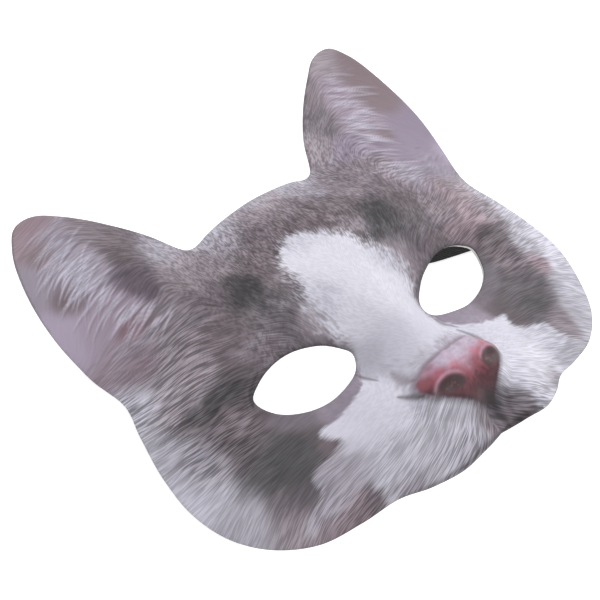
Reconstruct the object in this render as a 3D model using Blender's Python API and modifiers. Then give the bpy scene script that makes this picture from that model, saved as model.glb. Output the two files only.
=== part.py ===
"""Half-face cat mask: a moulded foam shell with ears, a flat elastic band and the two patches that hold it.

Metres, +Z up. The mask lies face up on the lower edge of its sides, as it rests on a table.
+Z points out of the face, +Y to the ears, and X = 0 is the plane of symmetry.
"""

import math

import bmesh
import bpy
import numpy as np

# Overall sizes of the moulding
MASK_WIDTH = 0.2206
MASK_HEIGHT = 0.1992
MASK_DEPTH = 0.0515
WALL = 0.0016
REST_EDGE_LIFT = 0.0010
EDGE_TURN = 0.0012

# The eye openings: how far each centre lies from the middle, its height, and the opening's size
EYE_OUT = 0.0420
EYE_UP = -0.0290
EYE_WIDTH = 0.0446
EYE_HEIGHT = 0.0254

# The band and its patches
BAND_WIDTH = 0.0080
BAND_THICKNESS = 0.0010
PATCH_LENGTH = 0.0124
PATCH_WIDTH = 0.0150
PATCH_THICKNESS = 0.0006
TOUCH_GAP = 0.0003

# Mesh density
SHELL_RINGS = 11
MIDDLE_SECTIONS = 44
MIDDLE_CROWDING = 1.15
NOSE_READINGS = 201
NOSE_ROUNDING = 13

# Right half of the outline, from the forehead to the lip, clockwise seen from the front.
# x is a share of half the width, y of the height and z of the depth; steps are mesh columns to the next row.
OUTLINE = (
    # name, x, y, z, steps
    ("forehead_top", 0.000, 0.2665, 0.295, 3),
    ("forehead_side", 0.115, 0.2655, 0.268, 3),
    ("forehead_end", 0.228, 0.2575, 0.245, 2),
    ("ear_notch_low", 0.292, 0.2520, 0.203, 1),
    ("ear_notch", 0.324, 0.2565, 0.196, 1),
    ("ear_notch_high", 0.346, 0.2690, 0.199, 2),
    ("ear_inner_low", 0.416, 0.3330, 0.218, 3),
    ("ear_inner", 0.526, 0.4020, 0.254, 3),
    ("ear_inner_high", 0.647, 0.4605, 0.293, 2),
    ("ear_tip_in", 0.720, 0.4900, 0.293, 2),
    ("ear_tip", 0.775, 0.4975, 0.289, 2),
    ("ear_tip_out", 0.826, 0.4920, 0.277, 2),
    ("ear_outer_high", 0.872, 0.4620, 0.247, 2),
    ("ear_outer_bend", 0.905, 0.4260, 0.210, 3),
    ("ear_outer", 0.946, 0.3380, 0.138, 3),
    ("ear_outer_low", 0.961, 0.2430, 0.080, 3),
    ("temple_high", 0.945, 0.1480, 0.019, 3),
    ("temple", 0.914, 0.0560, 0.019, 3),
    ("cheek_high", 0.951, -0.0190, 0.019, 3),
    ("cheek", 0.990, -0.1140, 0.019, 3),
    ("cheek_wide", 0.999, -0.2080, 0.019, 3),
    ("cheek_low", 0.954, -0.2950, 0.019, 3),
    ("jaw", 0.866, -0.3670, 0.078, 3),
    ("jaw_low", 0.732, -0.4190, 0.151, 3),
    ("jaw_inner", 0.578, -0.4410, 0.254, 3),
    ("muzzle_notch", 0.440, -0.4540, 0.377, 2),
    ("muzzle_side", 0.332, -0.4825, 0.491, 2),
    ("muzzle_low", 0.218, -0.4995, 0.592, 2),
    ("muzzle_inner", 0.104, -0.4960, 0.640, 2),
    ("lip", 0.000, -0.4860, 0.600, 0),
)

# Right eye opening, from its outer corner, anticlockwise. Shares of the opening's width and height
# from its centre, and of the mask's depth.
EYE_RIM = (
    # name, x, y, z
    ("outer_corner", 0.509, 0.248, 0.332),
    ("upper_outer", 0.394, 0.389, 0.387),
    ("upper_mid_outer", 0.219, 0.470, 0.443),
    ("upper_mid", 0.038, 0.456, 0.489),
    ("upper_mid_inner", -0.161, 0.349, 0.503),
    ("upper_inner", -0.338, 0.181, 0.489),
    ("inner_corner", -0.487, -0.102, 0.449),
    ("inner_turn", -0.461, -0.281, 0.421),
    ("lower_inner", -0.361, -0.415, 0.413),
    ("lower_mid_inner", -0.066, -0.522, 0.385),
    ("lower_mid_outer", 0.229, -0.396, 0.349),
    ("lower_outer", 0.427, -0.139, 0.326),
)

# Heights that shape the face between the outline and the eyes, without the nose.
# Shares of half the width, the height and the depth.
FACE = (
    # name, x, y, z
    ("forehead_upper", 0.000, 0.200, 0.435),
    ("forehead_mid", 0.000, 0.100, 0.575),
    ("forehead_low", 0.000, 0.000, 0.655),
    ("between_brows", 0.000, -0.100, 0.652),
    ("bridge_root", 0.000, -0.180, 0.618),
    ("bridge", 0.000, -0.240, 0.600),
    ("under_nose_top", 0.000, -0.310, 0.615),
    ("under_nose", 0.000, -0.370, 0.645),
    ("philtrum", 0.000, -0.425, 0.670),
    ("forehead_side_mid", 0.270, 0.150, 0.465),
    ("brow_inner", 0.270, 0.010, 0.640),
    ("brow", 0.450, -0.010, 0.580),
    ("brow_outer", 0.590, -0.035, 0.470),
    ("brow_top", 0.500, 0.110, 0.480),
    ("crown_side", 0.600, 0.200, 0.335),
    ("temple_upper", 0.730, 0.070, 0.330),
    ("temple_low", 0.760, -0.060, 0.275),
    ("ear_base_outer", 0.780, 0.210, 0.215),
    ("ear_base_inner", 0.460, 0.240, 0.300),
    ("ear_bowl_low", 0.680, 0.290, 0.225),
    ("ear_bowl", 0.720, 0.370, 0.205),
    ("ear_bowl_high", 0.770, 0.440, 0.232),
    ("cheek_outer", 0.830, -0.200, 0.190),
    ("cheek_mid", 0.640, -0.260, 0.305),
    ("cheek_inner", 0.440, -0.270, 0.405),
    ("cheek_under", 0.700, -0.340, 0.225),
    ("muzzle_root", 0.270, -0.250, 0.520),
    ("muzzle_flank", 0.330, -0.350, 0.580),
    ("muzzle_flank_low", 0.400, -0.410, 0.475),
    ("whisker_pad", 0.200, -0.390, 0.725),
    ("whisker_pad_low", 0.150, -0.450, 0.735),
)

# The nose is raised on the face row by row, as a ridge across the plane of symmetry.
# y is a share of the height, rise of the depth, half_width of half the width; square is how boxy it is.
NOSE = (
    # name, y, rise, half_width, square
    ("brow_start", 0.070, 0.000, 0.280, 1.0),
    ("brow_valley", -0.060, 0.060, 0.250, 1.0),
    ("ridge_high", -0.150, 0.150, 0.200, 1.1),
    ("ridge", -0.215, 0.220, 0.180, 1.2),
    ("ridge_low", -0.270, 0.275, 0.180, 1.4),
    ("leather_top", -0.310, 0.325, 0.205, 1.6),
    ("tip", -0.345, 0.335, 0.235, 1.8),
    ("nostrils", -0.375, 0.285, 0.220, 1.8),
    ("leather_low", -0.405, 0.190, 0.190, 1.6),
    ("leather_end", -0.428, 0.085, 0.150, 1.3),
    ("under_leather", -0.445, 0.020, 0.120, 1.0),
    ("lip_line", -0.462, 0.000, 0.110, 1.0),
)

# Small mounds and dents: centre, rise and reach as shares of half the width, the height and the depth.
DETAILS = (
    # name, x, y, rise, reach_x, reach_y
    ("nostril", 0.105, -0.362, -0.055, 0.042, 0.0190),
    ("philtrum_groove", 0.000, -0.445, -0.045, 0.030, 0.0300),
    ("tear_dent", 0.170, -0.215, -0.030, 0.050, 0.0260),
)

# The band's route, right half from the middle outwards. Shares of half the width, the height and the
# depth; grip is how far the band follows the wall instead of the surface it lies on.
BAND_ROUTE = (
    # x, y, z, grip
    (0.0000, 0.1310, 0.0175, 0.0),
    (0.0725, 0.1255, 0.0175, 0.0),
    (0.1451, 0.1074, 0.0175, 0.0),
    (0.2176, 0.0783, 0.0175, 0.0),
    (0.2901, 0.0432, 0.0175, 0.0),
    (0.3626, 0.0100, 0.0175, 0.0),
    (0.4352, -0.0181, 0.0175, 0.0),
    (0.5104, -0.0387, 0.0175, 0.0),
    (0.6038, -0.0547, 0.0175, 0.0),
    (0.6664, -0.0643, 0.0194, 0.0),
    (0.7026, -0.0693, 0.0330, 0.1),
    (0.7344, -0.0733, 0.0718, 0.3),
    (0.7616, -0.0768, 0.1204, 0.6),
    (0.7824, -0.0798, 0.1534, 0.9),
    (0.8033, -0.0823, 0.1670, 1.0),
    (0.8250, -0.0853, 0.1456, 1.0),
    (0.8522, -0.0889, 0.1165, 1.0),
    (0.8794, -0.0924, 0.0874, 1.0),
    (0.9021, -0.0954, 0.0641, 1.0),
)

# The patch's centre as shares of half the width and of the height, and its mesh lines as shares of its
# length and width. Lines between the inner ones lie under the band, the others against the wall.
PATCH_CENTRE = (0.8885, -0.0935)
PATCH_ALONG = (-0.5, -0.2, 0.1, 0.32, 0.44, 0.5)
PATCH_ACROSS = (-0.5, -0.41, -0.31, 0.0, 0.31, 0.41, 0.5)
PATCH_TENT_END = 0.32
PATCH_TENT_SIDE = 0.31

COLORS = {
    # name: (red, green, blue), roughness
    "printed_foam": ((0.62, 0.57, 0.58), 0.75),
    "black_elastic": ((0.02, 0.02, 0.02), 0.85),
    "black_patch": ((0.03, 0.03, 0.03), 0.80),
}


def clear_scene():
    for obj in list(bpy.data.objects):
        bpy.data.objects.remove(obj, do_unlink=True)


def material(name):
    color, roughness = COLORS[name]
    made = bpy.data.materials.new(name)
    made.use_nodes = True
    shader = made.node_tree.nodes["Principled BSDF"]
    shader.inputs["Base Color"].default_value = (*color, 1.0)
    shader.inputs["Roughness"].default_value = roughness
    shader.inputs["Metallic"].default_value = 0.0
    return made


def add_object(name, mesh_data, material_name, collection):
    mesh_data.materials.append(material(material_name))
    for face in mesh_data.polygons:
        face.use_smooth = True
    obj = bpy.data.objects.new(name, mesh_data)
    collection.objects.link(obj)
    return obj


def curve_through(points, steps):
    """Points on a smooth open curve through the given ones, with that many steps after each."""
    points = np.asarray(points, float)
    ends = np.vstack([2 * points[0] - points[1], points, 2 * points[-1] - points[-2]])
    found = []
    for i, count in enumerate(steps):
        p0, p1, p2, p3 = ends[i : i + 4]
        t0 = 0.0
        t1 = t0 + math.sqrt(np.linalg.norm(p1 - p0))
        t2 = t1 + math.sqrt(np.linalg.norm(p2 - p1))
        t3 = t2 + math.sqrt(np.linalg.norm(p3 - p2))
        for t in np.linspace(t1, t2, count, endpoint=False):
            a1 = (t1 - t) / (t1 - t0) * p0 + (t - t0) / (t1 - t0) * p1
            a2 = (t2 - t) / (t2 - t1) * p1 + (t - t1) / (t2 - t1) * p2
            a3 = (t3 - t) / (t3 - t2) * p2 + (t - t2) / (t3 - t2) * p3
            b1 = (t2 - t) / (t2 - t0) * a1 + (t - t0) / (t2 - t0) * a2
            b2 = (t3 - t) / (t3 - t1) * a2 + (t - t1) / (t3 - t1) * a3
            found.append((t2 - t) / (t2 - t1) * b1 + (t - t1) / (t2 - t1) * b2)
    found.append(points[-1])
    return np.array(found)


def outline_points():
    """The outline's rows as lengths, with the sides' edge lifted just clear of the surface."""
    rows = np.array([row[1:4] for row in OUTLINE])
    points = rows * (MASK_WIDTH / 2, MASK_HEIGHT, MASK_DEPTH)
    points[:, 2] = np.maximum(points[:, 2], REST_EDGE_LIFT)
    return points


def eye_points():
    rows = np.array([row[1:4] for row in EYE_RIM])
    points = rows * (EYE_WIDTH, EYE_HEIGHT, MASK_DEPTH)
    return points + (EYE_OUT, EYE_UP, 0)


def face_points():
    rows = np.array([row[1:4] for row in FACE])
    return rows * (MASK_WIDTH / 2, MASK_HEIGHT, MASK_DEPTH)


class FaceSurface:
    """The height of the mask's front over any point, smooth through the rows of the tables."""

    def __init__(self):
        self.known = np.vstack([outline_points(), eye_points(), face_points()])
        count = len(self.known)
        system = np.zeros((count + 2, count + 2))
        system[:count, :count] = self.kernel(self.known[:, 0], self.known[:, 1])
        system[:count, count] = 1
        system[:count, count + 1] = self.known[:, 1]
        system[count, :count] = 1
        system[count + 1, :count] = self.known[:, 1]
        heights = np.zeros(count + 2)
        heights[:count] = self.known[:, 2]
        self.weights = np.linalg.solve(system, heights)
        self.nose_y, self.nose_rows = self.nose_table()

    def kernel(self, x, y):
        """Cubic distance to each known point and to its mirror image."""
        dy = y[:, None] - self.known[None, :, 1]
        near = np.hypot(x[:, None] - self.known[None, :, 0], dy)
        far = np.hypot(x[:, None] + self.known[None, :, 0], dy)
        return near**3 + far**3

    def nose_table(self):
        """The nose's rows read every half millimetre or so, with their corners rounded off."""
        rows = np.array([row[1:] for row in NOSE])[::-1]
        rows = rows * (MASK_HEIGHT, MASK_DEPTH, MASK_WIDTH / 2, 1)
        y = np.linspace(rows[0, 0], rows[-1, 0], NOSE_READINGS)
        window = np.hanning(NOSE_ROUNDING)
        window /= window.sum()
        columns = []
        for i in (1, 2, 3):
            column = np.pad(np.interp(y, rows[:, 0], rows[:, i]), NOSE_ROUNDING // 2, mode="edge")
            columns.append(np.convolve(column, window, mode="valid"))
        return y, np.stack(columns, axis=1)

    def nose(self, x, y):
        rise, half_width, square = (
            np.interp(y, self.nose_y, self.nose_rows[:, i]) for i in range(3)
        )
        across = np.clip(np.abs(x) / half_width, 0, 1)
        return rise * (1 - across ** (2 * square)) ** 2

    def details(self, x, y):
        total = np.zeros_like(x)
        for _, cx, cy, rise, reach_x, reach_y in DETAILS:
            dy = (y - cy * MASK_HEIGHT) / (reach_y * MASK_HEIGHT)
            dx = (np.abs(x) - cx * MASK_WIDTH / 2) / (reach_x * MASK_WIDTH / 2)
            total += rise * MASK_DEPTH * np.exp(-(dx**2) - dy**2)
        return total

    def height(self, x, y):
        x = np.atleast_1d(np.asarray(x, float))
        y = np.atleast_1d(np.asarray(y, float))
        count = len(self.known)
        smooth = self.kernel(x, y) @ self.weights[:count]
        smooth += self.weights[count] + self.weights[count + 1] * y
        return smooth + self.nose(x, y) + self.details(x, y)

    def normal(self, x, y, step=0.0002):
        slope_x = (self.height(x + step, y) - self.height(x - step, y)) / (2 * step)
        slope_y = (self.height(x, y + step) - self.height(x, y - step)) / (2 * step)
        normals = np.stack([-slope_x, -slope_y, np.ones_like(slope_x)], axis=1)
        return normals / np.linalg.norm(normals, axis=1, keepdims=True)

    def front(self, x, y):
        return np.stack([x, y, self.height(x, y)], axis=1)

    def behind(self, x, y, depth):
        """Points that far behind the front, along its normal."""
        return self.front(x, y) - self.normal(x, y) * depth


def half_boundary():
    """Right half's edge, seen from above: the outline down to the lip, then the middle back up."""
    points = outline_points()
    steps = [row[4] for row in OUTLINE[:-1]]
    outline = curve_through(points[:, :2], steps)
    top, lip = outline[0, 1], outline[-1, 1]
    # Sections stand closer along the nose than along the forehead.
    share = np.linspace(0, 1, MIDDLE_SECTIONS + 2)[1:-1] ** MIDDLE_CROWDING
    middle = np.stack([np.zeros(len(share)), lip + (top - lip) * share], axis=1)
    return outline, middle


def eye_outline():
    """A closed fine curve round the eye opening, as seen from above."""
    points = eye_points()[:, :2]
    closed = np.vstack([points, points[:1]])
    return curve_through(closed, [12] * (len(closed) - 1))[:-1]


def on_eye_rim(rim, centre, target):
    """Where the straight line from the eye's centre to the target crosses the eye's rim."""
    angles = np.unwrap(np.arctan2(rim[:, 1] - centre[1], rim[:, 0] - centre[0]))
    reach = np.hypot(rim[:, 0] - centre[0], rim[:, 1] - centre[1])
    angle = math.atan2(target[1] - centre[1], target[0] - centre[0])
    turned = angles[0] + (angle - angles[0]) % (2 * math.pi)
    ring_angles = np.append(angles, angles[0] + 2 * math.pi)
    found = np.interp(turned, ring_angles, np.append(reach, reach[0]))
    return centre + found * np.array([math.cos(angle), math.sin(angle)])


def edge_turn_on_middle(surface, end_y):
    """The free edge's inner point on the plane of symmetry."""
    y = end_y - math.copysign(EDGE_TURN, end_y)
    turned = surface.behind(np.zeros(1), np.array([y]), WALL)[0]
    return np.array([0.0, turned[1], turned[2]])


def edge_points(front, inside):
    """The free edge's two lower points: where the cut meets the inside, and where the inside goes on.

    Where the wall would reach below the resting surface both lie on it, which leaves a flat strip.
    """
    outer, corner = front[-1], inside[-1]
    run = inside[-2] - corner
    share = EDGE_TURN / np.linalg.norm(run)
    if corner[2] >= 0:
        return corner, corner + run * share
    low = outer + (corner - outer) * outer[2] / (outer[2] - corner[2])
    turned = corner + run * max(share, -corner[2] / run[2])
    low[2] = turned[2] = 0.0
    return low, turned


def shell_sections(surface):
    """Each section's points on the front, on its free edge and on the inside, from the eye outwards."""
    outline, middle = half_boundary()
    centre = np.array([EYE_OUT, EYE_UP])
    rim = eye_outline()
    share = np.linspace(0, 1, SHELL_RINGS + 1)[:, None]
    sections = []
    for i, end in enumerate(np.vstack([outline, middle])):
        start = on_eye_rim(rim, centre, end)
        flat = start + (end - start) * share
        on_middle = i == 0 or i >= len(outline) - 1
        if on_middle:
            flat[-1, 0] = 0.0
        front = surface.front(flat[:, 0], flat[:, 1])
        inside = surface.behind(flat[:, 0], flat[:, 1], WALL)
        if on_middle:
            inside[-1, 0] = 0.0
        if i >= len(outline):
            edge = [inside[-1]]
        elif on_middle:
            edge = [inside[-1], edge_turn_on_middle(surface, end[1])]
        else:
            edge = list(edge_points(front, inside))
        sections.append((front, edge, inside[:-1]))
    return sections


def face_shell(surface, collection):
    """Right half of the wall, open at the plane of symmetry, and its mirror image."""
    bm = bmesh.new()
    rows = [
        [[bm.verts.new(point) for point in line] for line in section]
        for section in shell_sections(surface)
    ]
    for a, b in zip(rows, rows[1:] + rows[:1]):
        loft_strip(bm, a, b)
    bmesh.ops.recalc_face_normals(bm, faces=bm.faces)
    mesh_data = bpy.data.meshes.new("face_shell")
    bm.to_mesh(mesh_data)
    bm.free()
    shell = add_object("face_shell", mesh_data, "printed_foam", collection)
    mirror = shell.modifiers.new("Mirror", "MIRROR")
    mirror.use_axis = (True, False, False)
    mirror.use_clip = True
    mirror.merge_threshold = 0.00002
    return shell


def loft_strip(bm, section_a, section_b):
    """Faces between two neighbouring sections: front, free edge, inside and the eye's edge."""
    front_a, edge_a, inside_a = section_a
    front_b, edge_b, inside_b = section_b
    on_middle = edge_a[0].co.x == 0 and edge_b[0].co.x == 0
    around_a = front_a + ([] if on_middle else edge_a[:-1])
    around_b = front_b + ([] if on_middle else edge_b[:-1])
    behind_a = edge_a[-1:] + inside_a[::-1]
    behind_b = edge_b[-1:] + inside_b[::-1]
    if not on_middle:
        behind_a, around_a = around_a + behind_a, []
        behind_b, around_b = around_b + behind_b, []
    for line_a, line_b in ((around_a, around_b), (behind_a, behind_b)):
        for k in range(len(line_a) - 1):
            bm.faces.new((line_a[k], line_a[k + 1], line_b[k + 1], line_b[k]))
    bm.faces.new((inside_a[0], front_a[0], front_b[0], inside_b[0]))


def band_frames(surface):
    """The band's centre line and, at each point, the direction across it."""
    half = np.array(BAND_ROUTE) * (MASK_WIDTH / 2, MASK_HEIGHT, MASK_DEPTH, 1)
    other = half[:0:-1] * (-1, 1, 1, 1)
    route = np.vstack([other, half])
    centre, grip = route[:, :3], route[:, 3]
    along = np.gradient(centre, axis=0)
    level = np.cross((0, 0, 1), along)
    level /= np.linalg.norm(level, axis=1, keepdims=True)
    wall_up = surface.normal(centre[:, 0], centre[:, 1])
    on_wall = level - wall_up * np.sum(level * wall_up, axis=1, keepdims=True)
    across = level + (on_wall - level) * grip[:, None]
    across /= np.linalg.norm(across, axis=1, keepdims=True)
    return centre, across


def elastic_band(surface, collection):
    """A flat strip along the route, given its thickness."""
    centre, across = band_frames(surface)
    bm = bmesh.new()
    rows = []
    for point, side in zip(centre, across):
        offsets = (-BAND_WIDTH / 2, BAND_WIDTH / 2)
        rows.append([bm.verts.new(point + side * offset) for offset in offsets])
    for a, b in zip(rows, rows[1:]):
        bm.faces.new((a[0], b[0], b[1], a[1]))
    bmesh.ops.recalc_face_normals(bm, faces=bm.faces)
    mesh_data = bpy.data.meshes.new("elastic_strap")
    bm.to_mesh(mesh_data)
    bm.free()
    band = add_object("elastic_strap", mesh_data, "black_elastic", collection)
    wall = band.modifiers.new("Thickness", "SOLIDIFY")
    wall.thickness = BAND_THICKNESS
    wall.offset = 0.0
    wall.use_even_offset = True
    return band


def strap_patch(surface, side, name, collection):
    """A thin patch under the band's end, its rim against the inside of the wall."""
    centre = np.array(PATCH_CENTRE) * (MASK_WIDTH / 2, MASK_HEIGHT)
    along = np.subtract(BAND_ROUTE[-1][:2], BAND_ROUTE[-3][:2]) * (MASK_WIDTH / 2, MASK_HEIGHT)
    along /= np.linalg.norm(along)
    across = np.array([-along[1], along[0]])
    bm = bmesh.new()
    rows = []
    for u in PATCH_ALONG:
        row = []
        for v in PATCH_ACROSS:
            flat = centre + along * u * PATCH_LENGTH + across * v * PATCH_WIDTH
            depth = WALL + TOUCH_GAP + PATCH_THICKNESS / 2
            if u <= PATCH_TENT_END and abs(v) <= PATCH_TENT_SIDE:
                depth += BAND_THICKNESS + TOUCH_GAP
            point = surface.behind(flat[:1], flat[1:], depth)[0]
            row.append(bm.verts.new((side * point[0], point[1], point[2])))
        rows.append(row)
    for a, b in zip(rows, rows[1:]):
        for k in range(len(a) - 1):
            bm.faces.new((a[k], a[k + 1], b[k + 1], b[k]))
    bmesh.ops.recalc_face_normals(bm, faces=bm.faces)
    mesh_data = bpy.data.meshes.new(name)
    bm.to_mesh(mesh_data)
    bm.free()
    patch = add_object(name, mesh_data, "black_patch", collection)
    wall = patch.modifiers.new("Thickness", "SOLIDIFY")
    wall.thickness = PATCH_THICKNESS
    wall.offset = 0.0
    return patch


def main():
    clear_scene()
    collection = bpy.data.collections.new("cat_mask")
    bpy.context.scene.collection.children.link(collection)
    surface = FaceSurface()
    face_shell(surface, collection)
    elastic_band(surface, collection)
    strap_patch(surface, 1, "strap_patch_right", collection)
    strap_patch(surface, -1, "strap_patch_left", collection)


main()
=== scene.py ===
"""Looks of the half-face cat mask: printed jersey over moulded foam, a black band and two patches.

Metres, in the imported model's frame: +Z out of the face, +Y to the ears, X = 0 the plane of symmetry.
Paint positions are millimetres on the mask's plane. A finer piece takes each solid's place.
"""

import math

import bmesh
import bpy
import numpy as np
from mathutils import Matrix


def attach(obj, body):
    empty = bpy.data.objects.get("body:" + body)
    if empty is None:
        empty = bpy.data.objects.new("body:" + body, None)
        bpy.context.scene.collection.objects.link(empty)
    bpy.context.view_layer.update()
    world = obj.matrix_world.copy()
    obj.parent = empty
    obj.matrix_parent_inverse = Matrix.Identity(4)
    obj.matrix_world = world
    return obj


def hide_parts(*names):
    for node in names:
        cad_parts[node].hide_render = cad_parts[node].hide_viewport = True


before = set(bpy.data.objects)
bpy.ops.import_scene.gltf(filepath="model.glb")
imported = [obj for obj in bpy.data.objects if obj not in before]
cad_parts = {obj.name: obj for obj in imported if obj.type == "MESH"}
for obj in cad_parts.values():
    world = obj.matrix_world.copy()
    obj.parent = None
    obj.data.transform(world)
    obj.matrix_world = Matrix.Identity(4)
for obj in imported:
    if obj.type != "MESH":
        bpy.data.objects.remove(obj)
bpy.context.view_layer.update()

# Camera: where it stands, its right, up and backward directions, and its lens on a 36 mm sensor
CAMERA_PLACE = (-0.3826, -0.2170, 0.6175)
CAMERA_RIGHT = (0.72398898, -0.6600552, 0.20041729)
CAMERA_UP = (0.47855191, 0.68984914, 0.54322761)
CAMERA_BACK = (-0.4968179, -0.29738072, 0.81531385)
CAMERA_LENS = 106.51
SENSOR_WIDTH = 36.0

# Sizes of the moulding, as in the solids
MASK_WIDTH = 0.2206
MASK_HEIGHT = 0.1992
MASK_DEPTH = 0.0515
WALL = 0.0016
REST_EDGE_LIFT = 0.0010
EYE_OUT = 0.0420
EYE_UP = -0.0290
EYE_WIDTH = 0.0446
EYE_HEIGHT = 0.0254
BAND_WIDTH = 0.0080
BAND_THICKNESS = 0.0010
PATCH_LENGTH = 0.0124
PATCH_WIDTH = 0.0150
PATCH_THICKNESS = 0.0006
TOUCH_GAP = 0.0003

# The printed jersey's thickness, how far it is drawn over the outer edge, and its fold's depth
JERSEY = 0.0003
OUTER_WRAP = 0.0015
FOLD_DEPTH = 0.00018
# No point of jersey, foam or patches lies lower than this
FLOOR_CLEARANCE = 0.00005

# The foam keeps this far inside every edge. Its front lies right under the jersey there, and sinks
# by FOAM_SINK between two distances from the edge. Corners over FOAM_SHARP_ANGLE degrees stay sharp.
FOAM_INSET = 0.00012
FOAM_SEAT = JERSEY * 0.8
FOAM_SINK = 0.0009
FOAM_SINK_OVER = (0.0010, 0.0030)
FOAM_SHARP_ANGLE = 50

# Mesh spacing of the print, finer round the nose, and of the foam behind it
FINE_STEP = 0.00044
COARSE_STEP = 0.00066
FOAM_STEP = 0.00150
FINE_X = (-0.024, 0.024)
FINE_Y = (-0.099, -0.056)
FINE_EASE = 0.006
PRINT_MARGIN = 0.001
FOAM_MARGIN = 0.002
# Points just outside an edge, by less than this share of a cell, are kept and moved onto it
EDGE_SHARE = 0.42

# Points on the edges' curves for each step of a row, the fewest for a row, and for each row of an eye
OUTLINE_FINENESS = 4
OUTLINE_FEWEST = 6
EYE_FINENESS = 14

# The band's ribs, and its patch's mesh, corners and raised middle, in shares of its length and width
RIBS = 7
RIB_READINGS = 4
RIB_LOW = 0.74
RIB_SWELL = 0.26
BAND_FINENESS = 10
BAND_FILL = 0.985
BAND_EDGE_POWER = 10
BAND_EDGE_LEAST = 0.00004
PATCH_CELLS = (30, 36)
PATCH_CORNER_POWER = 6
PATCH_TENT_ALONG = (0.44, 0.32)
PATCH_TENT_ACROSS = (0.41, 0.31)

# Where hairs are long, in millimetres: outwards from the middle, and sooner the lower down;
# down towards the pads; and round the brows, as place, reach and share
LONG_OUTWARD = (34, 74)
LONG_SOONER = 0.25
LONG_DOWNWARD = (-56, -80)
LONG_BROW_PLACE = (38, -9)
LONG_BROW_REACH = (18, 9)
LONG_BROW_SHARE = 0.85

# Random values for the paint: seed, tables and their side, which table each use reads, and how far
# hairs wander from the lay
PAINT_SEED = 7
NOISE_TABLES = 8
NOISE_SIDE = 512
WANDER_TABLE = 0
MIDDLE_TABLE = 3
BROAD_TABLE = 4
FADE_TABLE = 5
PORE_TABLE = 6
SPECK_TABLE = 7
WANDER = 0.30
WANDER_SIZE = 9.0

# The fields that grow across the hairs: grid step, its start past the middle and its margin in
# millimetres, how loosely they keep their pace across the hairs, and the rounds of the fit. The left
# half's values are FIELD_MIRROR less the right's, so that its noise isn't a mirror image.
FIELD_STEP = 1.5
FIELD_START = -12.0
FIELD_MARGIN = 5
FIELD_LOOSENESS = 0.5
FIELD_ROUNDS = 1500
FIELD_MIRROR = 400

# Streaks in the paint: steps each way along the hairs, their length and lump sizes in millimetres,
# and how much the finer and the broader ones count
STREAK_STEPS = 10
STREAK_LENGTH = 2.2
STREAK_LONGER_OUTWARD = 5.0
STREAK_LONGER_DOWNWARD = 3.0
STREAK_SIZES = (1.50, 3.60)
STREAK_SHARES = (0.20, 0.30)

# A brush touch is this share of a hair's width, and at least so many millimetres wide. Touches along
# a hair are HAIR_STEP apart, and drawn lines and the nose's edges have so many for each bend.
BRUSH_SHARE = 0.62
BRUSH_LEAST = 0.29
HAIR_STEP = 0.35
LINE_FINENESS = 20
NOSE_EDGE_FINENESS = 6

# How strongly streaks and printed strands shift the white's edge, and how wide it is in shares of soft
EDGE_STREAKS = 0.14
EDGE_WIDTH = 1.3
EDGE_STRANDS = 0.24

# Spots of ink: how far the core reaches, and the tail that fills the space between spots
SPOT_CORE = 0.9
SPOT_TAIL = 0.3
SPOT_TAIL_AREA = 9
SPOT_TAIL_POWER = 1.5

# Tufts and locks: overall strength, how far roots scatter, how lengths vary, and a lock's shadow
TUFT_STRENGTH = 0.55
TUFT_LENGTHS = (0.6, 1.3)
LOCK_STRENGTH = 1.5
LOCK_SCATTER = (3.0, 1.3)
LOCK_LENGTHS = (0.55, 1.1)
LOCK_ROOT = 0.6
LOCK_SHADE = 0.50
LOCK_SHADE_DROP = 0.9
LOCK_SHADE_WIDTH = 1.3
# Painted shade: the print is this dark where it turns over an edge
TURNED_EDGE_PAINTED_SHADE = 0.66

# Printed strands in the shader: millimetres across and along one, and how strong the layer is.
# Real ones are about 0.2 mm wide. They are drawn at twice to five times that, so that they show.
STRANDS = {
    "short": ((0.46, 2.0, 8.5), (1.00, 3.2, 3.4)),
    "long": ((0.36, 7.0, 8.6), (0.80, 11.0, 2.8)),
}
STRAND_LIMIT = 1.3
STRAND_CONTRAST = 4.4

# Patterns of the finishes, in cells a metre. The band's picks are a slanting wave, 2.25 crests a cell.
KNIT_LOOPS = 1250.0
LEATHER_PORES = 1100.0
FOAM_CELLS = 1400.0
FOAM_CLOUDS = 60.0
BAND_PICKS = 400.0
FELT_FIBRES = 1600.0

# Studio: lights that look at one point, the room's light, and a floor that glows a little
LIGHTS = (
    # name, place, size, power
    ("key", (0.70, 0.40, 1.00), 0.9, 10.2),
    ("fill", (-0.9, -0.6, 0.9), 1.2, 4.3),
)
LIGHTS_LOOK_AT = (0, 0, 0.02)
ROOM_COLOR = (0.96, 0.97, 1.0, 1)
ROOM_STRENGTH = 0.39
FLOOR_COLOR = (0.93, 0.93, 0.935, 1)
FLOOR_GLOW = 0.6
FLOOR_SIZE = 4.0

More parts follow.
